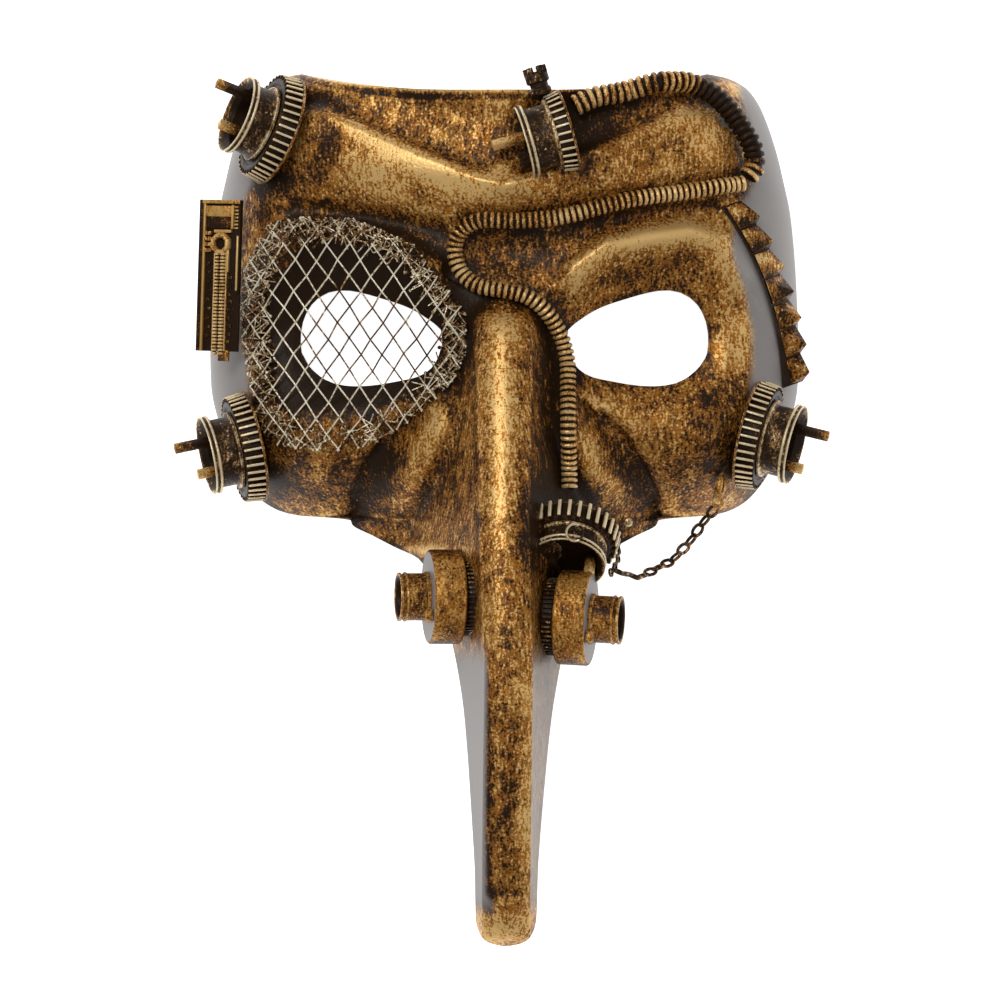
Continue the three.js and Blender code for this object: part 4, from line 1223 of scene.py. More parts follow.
    @staticmethod
    def edge_line(quads: np.ndarray, rim: np.ndarray, turn: np.ndarray) -> list[int]:
        """Points round a hole in order, each edge used by one quad.

        Args:
            quads: the faces round the hole.
            rim: the points on its edge.
            turn: the angle of each of those points about the hole's middle.

        Returns:
            The edge's points, in the sense opposite to the quads, starting at the least angle.
        """
        held = set(rim.tolist())
        uses: dict[tuple[int, int], int] = {}
        for quad in quads[np.isin(quads, rim).sum(axis=1) >= 2].tolist():
            for a, b in zip(quad, quad[1:] + quad[:1]):
                if a in held and b in held:
                    uses[(a, b)] = 1
        follows = {b: a for (a, b) in uses if (b, a) not in uses}
        start = int(rim[np.argmin(turn)])
        line = [start]
        while follows.get(line[-1], start) != start and len(line) <= len(follows):
            line.append(follows[line[-1]])
        return line

    @staticmethod
    def seam(
        first: Sequence[int], second: Sequence[int],
        first_at: Sequence[float] | None = None, second_at: Sequence[float] | None = None,
    ) -> list[tuple[int, ...]]:
        """Faces between two edge lines.

        Args:
            first: points of one line.
            second: points of the other.
            first_at: how far along each point of the first lies; its share of the count if left out.
            second_at: the same for the second.

        Returns:
            Triangles that join the lines.
        """
        one = np.linspace(0.0, 1.0, len(first)) if first_at is None else first_at
        two = np.linspace(0.0, 1.0, len(second)) if second_at is None else second_at
        faces, i, j = [], 0, 0
        while i < len(first) - 1 or j < len(second) - 1:
            ahead = one[i + 1] if i < len(first) - 1 else math.inf
            other = two[j + 1] if j < len(second) - 1 else math.inf
            if ahead <= other + 1e-9:
                faces.append((first[i], first[i + 1], second[j]))
                i += 1
            else:
                faces.append((first[i], second[j + 1], second[j]))
                j += 1
        return faces

    def paint_map(self, face: Face, outer: np.ndarray, normals: np.ndarray) -> dict[str, np.ndarray]:
        """Where the paint is worn, brushed more or less, or missing, with painted highlights and painted
        shade in the brushing, and the missing paint shown grey as a painted reflection.

        Args:
            face: the skin.
            outer: the outer skin's points.
            normals: their normals.

        Returns:
            A grid of values for each attribute.
        """
        x, y = outer[:, :, 0], outer[:, :, 1]
        wear = np.zeros(x.shape)
        for reach_mm, height, share in self.crests:
            spread = max(int(round(reach_mm / self.step)), 1)
            stands_out = -((self.blurred(outer, spread) - outer) * normals).sum(axis=2)
            wear += share * np.clip(stands_out / height, -0.35, 1.0)
        # Painted highlights and painted shade from the patches, with some real tone of the paint.
        brushed = sum(patch.on(x, y) for patch in LIGHT_SHADE_AND_TONE_PATCHES)
        brushed = np.maximum(brushed, self.least_brushed - 0.5 * wear) + NET_SHADE.on(x, y)
        # Painted shade beside the hoses.
        for hose in self.hoses:
            away = np.maximum(distance(x, y, hose.path(face)[::2]) - hose.radius, 0.0)
            brushed -= self.shade_by_hose[0] * near(away, self.shade_by_hose[1])
        # Painted shade round the wheels.
        for unit in self.units:
            away = np.hypot(x - unit.at[0], y - unit.at[1]) - unit.wheel.radius * 0.85
            brushed -= self.shade_by_wheel[0] * (1.0 - ease(away / self.shade_by_wheel[1]))
        # Painted shade at the edges of the eye holes.
        for side in (-1, 1):
            brushed -= self.shade_by_eye[0] * near(distance(x, y, self.hole(side, 4)), self.shade_by_eye[1])
        # Darker towards the cut sides.
        to_side = face.half_width(y) - np.abs(x)
        brushed -= self.by_side[0] * near(to_side, self.by_side[1]) * (y > -90.0)
        row = np.arange(len(x))[:, None]
        brushed += self.rim_lit * (row < 3) - self.rim_shade * ((row > 4) & (row < 8))
        # Paint stops on the side walls and on the leaning parts of the nose's flanks; the grey there is a
        # painted reflection of the pale surroundings, stronger on the left flank than the right.
        edge = np.where(x < 0, SmoothCurve(BARE_LEFT)(y), SmoothCurve(BARE_RIGHT)(y))
        walls = ease((np.abs(x) - edge + 2.0) / 3.5) * above(y, -46.0, 10.0)
        least, over, most = (np.where(x < 0, *pair) for pair in zip(self.left_flank, self.right_flank))
        leans = 1.0 - ease((np.abs(normals[:, :, 2]) - least) / over)
        flanks = most * leans * below(y, -88.0, 10.0) * above(y, -172.0, 8.0)
        return {"wear": wear, "brushed": brushed, "bare": np.maximum(walls, flanks)}

    def build(self, shop: Workshop) -> None:
        """Makes the shell.

        Args:
            shop: the workshop that finishes it.
        """
        face = shop.face
        rows = self.rows(face)
        outer = self.grid(face, rows, self.across)
        marks = self.paint_map(face, outer, self.normals(outer))
        smooth = self.blurred(outer, 2)
        kept = self.lining_rows(rows)
        lining = (smooth - self.normals(smooth) * WALL)[kept][:, :: self.coarser]
        lining[:, :, 2] = np.maximum(lining[:, :, 2], 0.0)
        lining[0, :, 1] = outer[0, :: self.coarser, 1]
        for j in (0, -1):
            lining[:, j, 1:] = outer[kept, j, 1:]

        points, faces, holes = self.cut(face, outer, 0.0)
        inner_points, inner_faces, inner_holes = self.cut(face, lining, WALL)
        shift = len(points)
        faces += [tuple(reversed([i + shift for i in f])) for f in inner_faces]
        out = np.arange(shift).reshape(outer.shape[:2]).tolist()
        within = (np.arange(len(inner_points)).reshape(lining.shape[:2]) + shift).tolist()
        reach, kept_reach = (-rows).tolist(), (-rows[kept]).tolist()
        faces += self.seam([r[0] for r in within], [r[0] for r in out], kept_reach, reach)
        faces += self.seam([r[-1] for r in out], [r[-1] for r in within], reach, kept_reach)
        faces += self.seam(out[0], within[0])
        faces += self.seam(within[-1], out[-1])
        for line, inner_line in zip(holes, inner_holes):
            faces += self.seam(line + line[:1], [i + shift for i in inner_line + inner_line[:1]])
        inside = Form(inner_points, [], {"brushed": np.full(len(inner_points), self.lining_coat)})
        whole = Form(points, faces, {name: grid.ravel() for name, grid in marks.items()}) + inside
        shop.piece("shell", whole, Slot.MOULDING, ["mask_shell"], Finish(settled=False, sharp=60.0))


@dataclass
class Hose:
    """A ribbed hose laid on the face."""

    name: str
    node: str
    radius: float
    rib: float
    pitch: float
    route: Sequence[Row]
    coat: Sequence[Row]
    stand: float = 1.0
    levelled: int = 5

    def path(self, face: Face) -> np.ndarray:
        """The hose's middle line, smooth and laid on the skin, its height levelled over a few points."""
        across, up = smooth_line(self.route).T
        height = face.skin(across, up) + self.radius / face.uprightness(across, up) + self.stand
        padded, span = np.pad(height, self.levelled, mode="edge"), 2 * self.levelled + 1
        height = sum(padded[k : k + len(height)] for k in range(span)) / span
        return np.column_stack([across, up, height])

    def build(self, shop: Workshop) -> None:
        """Makes the hose.

        Args:
            shop: the workshop that finishes it.
        """
        line = self.path(shop.face)
        sizes = {"Radius": self.radius, "Rib": self.rib, "Pitch": self.pitch}
        mesh = shop.strung(self.name, line, shop.hose, Slot.HOSE, sizes)
        middle = line[::3]
        nearest = [np.argmin(((middle - spot) ** 2).sum(axis=1)) for spot in shop.layout_of(mesh)]
        write_marks(mesh, {"brushed": SmoothCurve(self.coat)(np.array(nearest) / len(middle))})
        shop.publish(self.name, mesh, Slot.HOSE, [self.node], Finish(settled=False, wear=0.8))


@dataclass(frozen=True)
class Wheel:
    """Sizes of a toothed wheel."""

    radius: float = 16.7
    depth: float = 6.0
    teeth: int = 42
    tooth: float = 1.6
    bar: float = 0.7
    flange: float = 0.7
    flange_over: float = 0.2


@dataclass
class GearUnit:
    """A toothed wheel, a waisted cup with a double-edged lip and two square pins."""

    name: str
    wheel: Wheel
    cup: float
    depth: float
    at: Sequence[float]
    heading: float
    rise: float
    pins: Row
    coats: Row = (-0.45, 0.35)
    reaches: Row = (9.0, 3.8)
    pin: float = 2.4
    floor: float = 2.0
    segments: int = 72

    def wheel_form(self) -> Form:
        """The wheel's disc with its back flange and stepped front."""
        r, d, t = self.wheel.radius, self.wheel.depth, self.wheel.tooth
        root, edge = r - t, r + self.wheel.flange_over
        return turned([
            (0, 0), (r * 0.5, 0), (edge, 0), (edge, self.wheel.flange), (root, self.wheel.flange),
            (root, d - 0.7), (root - 0.6, d), (root - 2.0, d), (root - 2.4, d - 0.5),
            (r * 0.5, d - 0.5), (0, d - 0.5),
        ], self.segments, dark=(4, 10), missed=-0.3)

    def cup_form(self) -> Form:
        """The cup from its foot to its double lip and down its hollow."""
        r, d = self.cup, self.depth
        waist, bore = r * 0.86, r * 0.86 - 1.2
        cup = turned([
            (0, -0.4), (r * 0.97, -0.4), (r * 0.97, 0.5), (waist, 1.0), (waist, d - 2.8),
            (r - 0.4, d - 2.3), (r, d - 2.1), (r, d - 1.5), (r - 0.5, d - 1.3), (r - 0.5, d - 0.7),
            (r - 0.1, d - 0.5), (r - 0.1, d), (r - 0.7, d), (r - 1.3, d - 0.8), (bore, d - 2.4),
            (bore, 2.0), (bore * 0.5, 2.0), (0, 2.0),
        ], self.segments, dark=(14, 17))
        lip = (cup.points[:, 2] > d - 2.2) & (np.hypot(cup.points[:, 0], cup.points[:, 1]) > r - 0.45)
        cup.marks["brushed"] = cup.marks["brushed"] + 0.9 * lip
        return cup

    def build(self, shop: Workshop) -> None:
        """Makes the unit.

        Args:
            shop: the workshop that finishes its pieces.
        """
        frame = axis_frame(self.at, self.heading, self.rise)
        front = frame @ along(self.wheel.depth + GAP)
        shop.piece(f"{self.name}_disc", self.wheel_form().placed(frame), Slot.WHEEL,
                   [f"{self.name}_wheel"], Finish(bevel=0.18, wear=0.9, hollows=0.2))
        self.build_teeth(shop, frame)
        cup = self.cup_form().placed(front)
        buried = cup.points[:, 2] < shop.face.skin(cup.points[:, 0], cup.points[:, 1])
        cup.marks["brushed"] = np.where(buried, -1.5, cup.marks["brushed"])
        shop.piece(f"{self.name}_barrel", cup, Slot.CUP, [f"{self.name}_cup"],
                   Finish(bevel=0.22, wear=1.2, hollows=0.0))
        for i, (offset, reach, coat) in enumerate(zip(self.pins, self.reaches, self.coats)):
            long = self.depth - self.floor + reach
            bar = block((self.pin, self.pin, long), (0, 0, self.floor + long / 2))
            bar.marks["brushed"] = np.where(bar.points[:, 2] > long / 2, coat + 0.2, coat - 1.9)
            seat = front @ Matrix.Translation((offset, 0, 0)) @ Matrix.Rotation(math.pi / 4, 4, "Z")
            shop.piece(f"{self.name}_stud_{i + 1}", bar.placed(seat), Slot.PIN,
                       [f"{self.name}_pin_{i + 1}"], Finish(bevel=0.25, wear=0.9, settled=False))

    def build_teeth(self, shop: Workshop, frame: Matrix) -> None:
        """Sets the tooth bars round the wheel, each worn on its outer face."""
        w = self.wheel
        long = w.depth - w.flange
        middle = w.flange + long / 2
        bar = block((w.tooth + 0.6, w.bar, long), (-w.tooth / 2 - 0.3, 0, middle))
        crest = bar.points[:, 0] > -0.5
        bar.points[(bar.points[:, 2] > middle) & crest, 0] -= 0.7
        bar.marks["wear"] = np.where(crest, 1.2, -3.0)
        shop.ring_of_bars(f"{self.name}_teeth", bar, 0.16, w.radius, w.teeth, frame, Slot.WHEEL,
                          f"{self.name}_wheel", Finish(wear=1.3, sharp=50.0))


@dataclass
class DrumUnit:
    """A drum beside the nose with its ribbed collar, its nozzle and bolts."""

    side: str
    at: Sequence[float]
    heading: float
    rise: float
    turn: int
    radius: float = 14.0
    length: float = 9.5
    nozzle: float = 7.0
    bore: float = 5.0
    reach: float = 13.5
    collar: float = 11.5
    collar_length: float = 3.4
    ribs: int = 48
    bolts_in: float = 3.4
    segments: int = 72

    def build(self, shop: Workshop) -> None:
        """Makes the unit.

        Args:
            shop: the workshop that finishes its pieces.
        """
        frame, node = axis_frame(self.at, self.heading, self.rise), f"collar_{self.side}"
        c, long = self.collar, self.collar_length
        core = turned([(0, 0), (c * 0.5, 0), (c - 0.8, 0), (c - 0.8, long), (c * 0.5, long), (0, long)],
                      self.segments, dark=(0, 5))
        shop.piece(f"collar_core_{self.side}", core.placed(frame), Slot.CUP, [node], Finish(bevel=0.2))
        rib = block((1.4, 0.7, long - 0.4), (-0.7, 0, long / 2))
        rib.marks["wear"] = np.where(rib.points[:, 0] > -0.7, 0.0, -3.0)
        shop.ring_of_bars(f"collar_ribs_{self.side}", rib, 0.15, c, self.ribs, frame, Slot.CUP, node)
        self.build_drum(shop, frame @ along(self.collar_length + GAP))

    def build_drum(self, shop: Workshop, frame: Matrix) -> None:
        """Makes the drum, its nozzle and its bolts."""
        r, long = self.radius, self.length
        # The front face is unpainted and shown grey as a painted reflection.
        drum = turned([
            (0, 0), (r * 0.5, 0), (r - 0.5, 0), (r, 0.5), (r, long * 0.5), (r, long - 0.5),
            (r - 0.5, long), (r - 0.9, long), (r * 0.5, long), (0, long),
        ], self.segments, bare=(7, 9)).placed(frame)
        # The drum is darker towards its underside.
        above = (drum.points[:, 2] - self.at[2]) / r
        drum.marks["brushed"] = 0.5 * ease((above - 0.35) / 0.4) - 0.5
        shop.piece(f"barrel_{self.side}", drum, Slot.PLATE, [f"drum_{self.side}"], Finish(bevel=0.2))
        spout = frame @ along(long + GAP)
        n, out = self.nozzle, self.reach - long / 2
        pipe = turned([
            (0, -0.3), (n + 0.5, -0.3), (n + 0.5, 0.7), (n, 1.0), (n, out - 2.6), (n + 0.35, out - 2.4),
            (n + 0.35, out - 1.8), (n - 0.2, out - 1.6), (n - 0.2, out - 1.0), (n + 0.2, out - 0.7),
            (n + 0.2, out), (n - 0.6, out), (n - 1.2, out - 0.7), (self.bore, 2),
            (self.bore * 0.5, 2), (0, 2),
        ], self.segments, dark=(12, 15))
        shop.piece(f"spout_{self.side}", pipe.placed(spout), Slot.PIN, [f"nozzle_{self.side}"],
                   Finish(bevel=0.2))
        for i, around in enumerate((math.pi / 3, -math.pi / 3)):
            reach = r - self.bolts_in
            place = Matrix.Translation((self.turn * reach * math.cos(around), reach * math.sin(around), 0))
            head = turned([(0, 0), (1.9, 0), (1.9, 1.5), (1.5, 2.1), (0.7, 2.3), (0.7, 1.5), (0, 1.5)], 24)
            shop.piece(f"screw_{self.side}_{i + 1}", head.placed(spout @ place), Slot.PIN,
                       [f"drum_bolt_{self.side}_{i + 1}"], Finish(bevel=0.12))


@dataclass
class EyeNet:
    """Diamond wire net bulging over the eye at the left of the picture, with a crumpled edge."""

    cell: Row = (6.6, 9.4)
    wire: float = 0.25
    drops: Row = (0.27, 0.42)
    coat: float = 0.4
    crumpled: Sequence[Row] = ((2.9, 4.4), (3.3, 3.0), (4.6, 3.5))
    clear: float = 0.82
    stray: float = 0.8
    strand: float = 0.18
    clots: Row = (0.22, 0.6)
    clotted: float = 0.4
    hangs_below: float = -14.0
    hanging: float = 0.35
    crumpled_coat: float = -0.8
    coat_step: float = 0.35
    over_hole: float = -0.75
    stand: float = 1.2
    lift: float = 0.5
    bulge: float = 9.0
    sunk: float = 3.0
    dome: Row = (34, 36)
    centre: Row = (-44, 3)
    outline: Sequence[Row] = (
        (-70, 35), (-60, 36.5), (-45, 36), (-36, 32), (-27, 28), (-21.5, 20), (-14.5, 12), (-11.5, 7),
        (-11.5, -4), (-15, -12), (-21, -18.5), (-29, -25), (-39, -31), (-46, -33), (-60, -33),
        (-70, -31), (-74, -24), (-76.5, -12), (-78.5, -3), (-79, 11), (-78, 22),
    )

    def height(self, face: Face, x: np.ndarray, y: np.ndarray) -> np.ndarray:
        """Height of the net over the table."""
        out = np.hypot((x - self.centre[0]) / self.dome[0], (y - self.centre[1]) / self.dome[1])
        dome = face.plain(np.abs(x), y) - self.sunk + self.bulge * np.maximum(0.0, 1 - out * out)
        return np.maximum(face.skin(x, y) + self.stand / face.uprightness(x, y), dome) + self.lift

    def build(self, shop: Workshop) -> None:
        """Makes the net.

        Args:
            shop: the workshop that finishes it.
        """
        chance = np.random.default_rng(3)
        spots, edges = self.diamonds(self.cell, 0.0, 0.0)
        self.lay(shop, "net", spots, edges, np.ones(len(spots)), self.wire, self.drops, self.coat)
        for k, cell in enumerate(self.crumpled):
            spots, edges = self.diamonds(cell, self.stray, self.clear)
            clots = (chance.random(len(spots)) < self.clotted).astype(float)
            self.lay(shop, f"net_crumple_{k + 1}", spots, edges, clots, self.strand, self.clots,
                     self.crumpled_coat + self.coat_step * k)

    def diamonds(self, cell: Row, stray: float, clear: float) -> tuple[np.ndarray, list[tuple[int, int]]]:
        """Corners and wires of a field of diamonds, cut off at the outline.

        Args:
            cell: width and height of a diamond.
            stray: how far its corners stray from their places.
            clear: size of the middle that is left clear, as a share of the outline.

        Returns:
            The corners and the pairs of them that a wire joins.
        """
        chance = np.random.default_rng(7)
        outline, middle = np.array(self.outline, float), np.array(self.centre)
        wide, high = cell[0] / 2, cell[1] / 2
        low, top = outline.min(axis=0), outline.max(axis=0)
        columns = range(int(low[0] / wide) - 1, int(top[0] / wide) + 2)
        rows = range(int(low[1] / high) - 1, int(top[1] / high) + 2)
        keys = [(i, j) for j in rows for i in columns if (i + j) % 2 == 0]
        flat = np.array([(i * wide, j * high) for i, j in keys])
        sway = np.column_stack([
            np.sin(flat[:, 1] * 0.35 + flat[:, 0] * 0.2), np.cos(flat[:, 0] * 0.4),
        ])
        flat = flat + 0.05 * cell[0] * sway + chance.normal(0.0, stray, flat.shape)
        covered = MaskShell.inside(flat, outline)
        if clear:
            covered &= ~MaskShell.inside(middle + (flat - middle) / clear, outline)
            covered &= ~MaskShell.inside(flat, MaskShell.hole(-1) * 1.04)
            covered &= (flat[:, 1] > self.hangs_below) | (chance.random(len(flat)) < self.hanging)
        number = {key: n for n, key in enumerate(keys)}
        places, edges, used = list(flat), [], set()
        for (i, j), n in number.items():
            for across in (-1, 1):
                m = number.get((i + across, j + 1))
                if m is None or not (covered[n] or covered[m]):
                    continue
                ends = [n, m]
                if covered[n] != covered[m]:
                    held, lost = (n, m) if covered[n] else (m, n)
                    near, far = flat[held], flat[lost]
                    for _ in range(7):
                        half = (near + far) / 2
                        if MaskShell.inside(half[None], outline)[0]:
                            near = half
                        else:
                            far = half
                    places.append(near)
                    ends = [held, len(places) - 1]
                edges.append(tuple(ends))
                used.update(ends)
        order = {old: new for new, old in enumerate(sorted(used))}
        spots = np.array([places[k] for k in sorted(used)])
        return spots, [(order[a], order[b]) for a, b in edges]

    def lay(
        self, shop: Workshop, name: str, spots: np.ndarray, edges: Sequence[tuple[int, int]],
        clots: np.ndarray, wire: float, drops: Row, coat: float,
    ) -> None:
        """Lays wires on the face and coats them.

        Args:
            shop: the workshop that finishes them.
            name: the piece's name.
            spots: the wires' corners on the face.
            edges: pairs of corners that a wire joins.
            clots: above nought at each corner with a drop of paint.
            wire: radius of the wires.
            drops: least and largest radius of a drop.
            coat: how much it was brushed, away from the eye hole.
        """
        heights = self.height(shop.face, spots[:, 0], spots[:, 1])
        start = shop.object_of(name, np.column_stack([spots, heights]), edges, [], {"drop": clots})
        sizes = {"Wire": wire, "Least drop": drops[0], "Largest drop": drops[1]}
        mesh = shop.patterned(start, shop.net, Slot.NET, sizes, {"Seed": 4})
        over_hole = MaskShell.inside(shop.layout_of(mesh)[:, :2], MaskShell.hole(-1))
        write_marks(mesh, {"brushed": np.where(over_hole, self.over_hole, coat)})
        shop.publish(name, mesh, Slot.NET, ["eye_net"], Finish(settled=False, wear=0.3))


def bars(rows: Iterable[tuple[Sequence[float], Sequence[float], float]]) -> Form:
    """Bars in one form, from rows of each one's size, middle and coat."""
    whole = Form(np.zeros((0, 3)), [])
    for size, at, coat in rows:
        one = block(size, at)
        one.marks["brushed"] = np.full(len(one.points), coat)
        whole += one
    return whole


@dataclass
class SidePlate:
    """Framed plate at the left temple with its window, knob and beaded rod."""

    at: Sequence[float] = (-85, 19.3, 39.9)
    width: float = 13.8
    length: float = 45.4
    thickness: float = 2.2
    wall: float = 1.1
    lean: float = 27.0
    turn: float = -2.0
    rod_top: float = 6.4
    rod_sizes = {"Radius": 0.95, "Rib": 0.42, "Pitch": 1.0}

    def build(self, shop: Workshop) -> None:
        """Makes the plate and what is on it.

        Args:
            shop: the workshop that finishes its pieces.
        """
        turn = Matrix.Rotation(math.radians(-self.lean), 4, "Y")
        frame = Matrix.Translation(Vector(self.at)) @ turn @ Matrix.Rotation(math.radians(self.turn), 4, "Z")
        w, l, t, floor = self.width, self.length, self.thickness, self.thickness / 2
        tray = bars([
            ((w, l, floor), (0, 0, floor / 2), -1.5),
            ((self.wall, l, t), (-(w - self.wall) / 2, 0, t / 2), -1.2),
            ((0.75, l - 0.4, floor + 0.5), (-w / 2 + self.wall + 0.4, 0, floor), 1.2),
            ((w - 0.6, 1.1, t), (0.2, (l - 1.1) / 2, t / 2), 0.2),
            ((self.wall, l * 0.62, t - 0.4), ((w - self.wall) / 2, l * 0.19, t / 2 - 0.2), -1.5),
        ])
        pane = bars([
            ((8.8, 3.2, 0.8), (-0.4, 19.3, floor + 0.4), 0.1),
            ((8.8, 3.6, 0.5), (-0.4, 15.9, floor + 0.2), -1.2),
            ((0.7, 7.2, 1.2), (4.45, 17.6, floor + 0.6), 1.2),
            ((5.8, 0.9, 1.2), (1.2, 13.3, floor + 0.6), 1.2),
        ])
        knob = turned([(1.9, 0), (3.5, 0), (3.5, 1.2), (3.1, 1.9), (2.4, 2.1), (1.9, 1.6)], 8, closed=True)
        knob.marks["brushed"] = np.full(len(knob.points), 0.35)
        knob = knob.placed(Matrix.Translation((0.6, 9.6, floor)) @ Matrix.Rotation(math.pi / 8, 4, "Z"))
        comb = [((1.3, 0.55, 0.9), (5.7, 20.6 - 1.05 * k, floor + 0.5), 0.2) for k in range(7)]
        knobs = [
            ((1.1, 1.1, 1.2), (-4.6 + 1.35 * (k % 2), 7.6 + 1.7 * (k // 2), floor + 0.6), -0.1)
            for k in range(8)
        ]
        lumps = [
            lump for k in range(9) for lump in (
                ((1.6, 1.0, 0.6), (3.9 - 0.3 * (k % 3), -0.6 - 2.4 * k, floor + 0.3), -0.75),
                ((1.2, 0.9, 0.5), (-3.6 + 0.5 * (k % 2), 3.6 - 2.7 * k, floor + 0.2), -0.8),
            )
        ]
        strips = [
            ((0.35, l / 2 + self.rod_top, 0.9), (x, 3.2 - l / 4, floor + 0.45), 0.6) for x in (-1.45, 2.65)
        ]
        studs = bars([
            *comb, *knobs,
            ((0.6, 16.4, 1.0), (6.3, 3.8, floor + 0.5), 1.4),
            ((1.0, 7.0, 1.0), (2.9, 4.6, floor + 0.5), 0.5),
            *lumps,
            *strips,
            ((3.4, 3.4, 1.2), (2.2, -l / 2 - 1.2, floor - 0.2), -0.5),
        ])
        for name, form, slot, nodes in (
            ("plate_tray", tray, Slot.PLATE, ["side_plate"]),
            ("plate_pane", pane, Slot.PLATE, ["plate_window"]),
            ("plate_button", knob, Slot.PIN, ["plate_knob"]),
            ("plate_studs", studs, Slot.PIN, []),
        ):
            shop.piece(name, form.placed(frame), slot, nodes, Finish(bevel=0.15))
        steps = np.linspace(self.rod_top, -l / 2 - 0.6, 60)
        for name, x, nodes in (("plate_rod_beads", -0.45, ["plate_rod"]), ("plate_tube", 1.65, [])):
            line = Form(np.array([[x, y, floor + 1.0] for y in steps]), []).placed(frame).points
            mesh = shop.strung(name, line, shop.hose, Slot.HOSE, self.rod_sizes)
            write_marks(mesh, {"brushed": np.full(len(mesh.vertices), 0.35)})
            shop.publish(name, mesh, Slot.HOSE, nodes, Finish(settled=False))


@dataclass
class SpikeStrip:
    """Seven pyramids on a strip that bows down the temple."""

    count: int = 7
    inner: float = -3.2
    outer: float = 2.4
    tip: float = 4.3
    height: float = 4.4
    base: float = 1.6
    seam: float = 1.1
    under: float = -1.5
    stand: float = 0.6
    lowest: float = 24.0
    start: Row = (68.8, 41)
    end: Row = (88.2, -12.8)
    bow: float = 4.4
    coats: Row = (-1.1, -0.7)
    darker: int = 2
    seam_coat: float = -1.6
    steps: int = 29

    def place(self, face: Face, share: float, across: float, up: float) -> np.ndarray:
        """A point over the strip: share of the way down it, offset across it and height over it."""
        run = np.array(self.end) - np.array(self.start)
        out = np.array([-run[1], run[0]]) / np.hypot(*run)
        flat = np.array(self.start) + run * share
        flat = flat + out * (self.bow * 4 * share * (1 - share) + across)
        return np.array([*flat, max(float(face.skin(*flat)), self.lowest) + self.stand + up])

    def build(self, shop: Workshop) -> None:
        """Makes the strip.

        Args:
            shop: the workshop that finishes it.
        """
        face = shop.face
        whole = Form(np.zeros((0, 3)), [])
        for i in range(self.count):
            low, high = (i + 0.04) / self.count, (i + 0.98) / self.count
            ring = [(low, self.inner), (low, self.outer), (high, self.outer), (high, self.inner)]
            foot = [self.place(face, s, a, self.under) for s, a in ring]
            top = [self.place(face, s, a * 0.96, self.base * 0.8) for s, a in ring]
            tip = self.place(face, (i + 0.78) / self.count, self.tip, self.base + self.height)
            faces = [(0, 1, 2, 3)] + [(k, 4 + k, 4 + (k + 1) % 4, (k + 1) % 4) for k in range(4)]
            faces += [(4 + (k + 1) % 4, 4 + k, 8) for k in range(4)]
            coat = self.coats[i >= self.darker]
            whole += Form(np.array([*foot, *top, tip]), faces, {"brushed": np.full(9, coat)})
        low, high = self.inner - self.seam, self.outer - 0.2
        rails = [(low, self.under), (high, self.under), (high, 0.7), (low, 0.7)]
        shares = np.linspace(0, 1, self.steps)
        points = np.array([self.place(face, s, a, up) for s in shares for a, up in rails])
        faces = [
            (4 * i + k, 4 * i + (k + 1) % 4, 4 * (i + 1) + (k + 1) % 4, 4 * (i + 1) + k)
            for i in range(self.steps - 1) for k in range(4)
        ]
        faces += [(3, 2, 1, 0), tuple(4 * (self.steps - 1) + k for k in range(4))]
        whole += Form(points, faces, {"brushed": np.full(len(points), self.seam_coat)})
        shop.piece("spikes", whole, Slot.SPIKES, ["spike_strip"], Finish(bevel=0.2, wear=1.4))


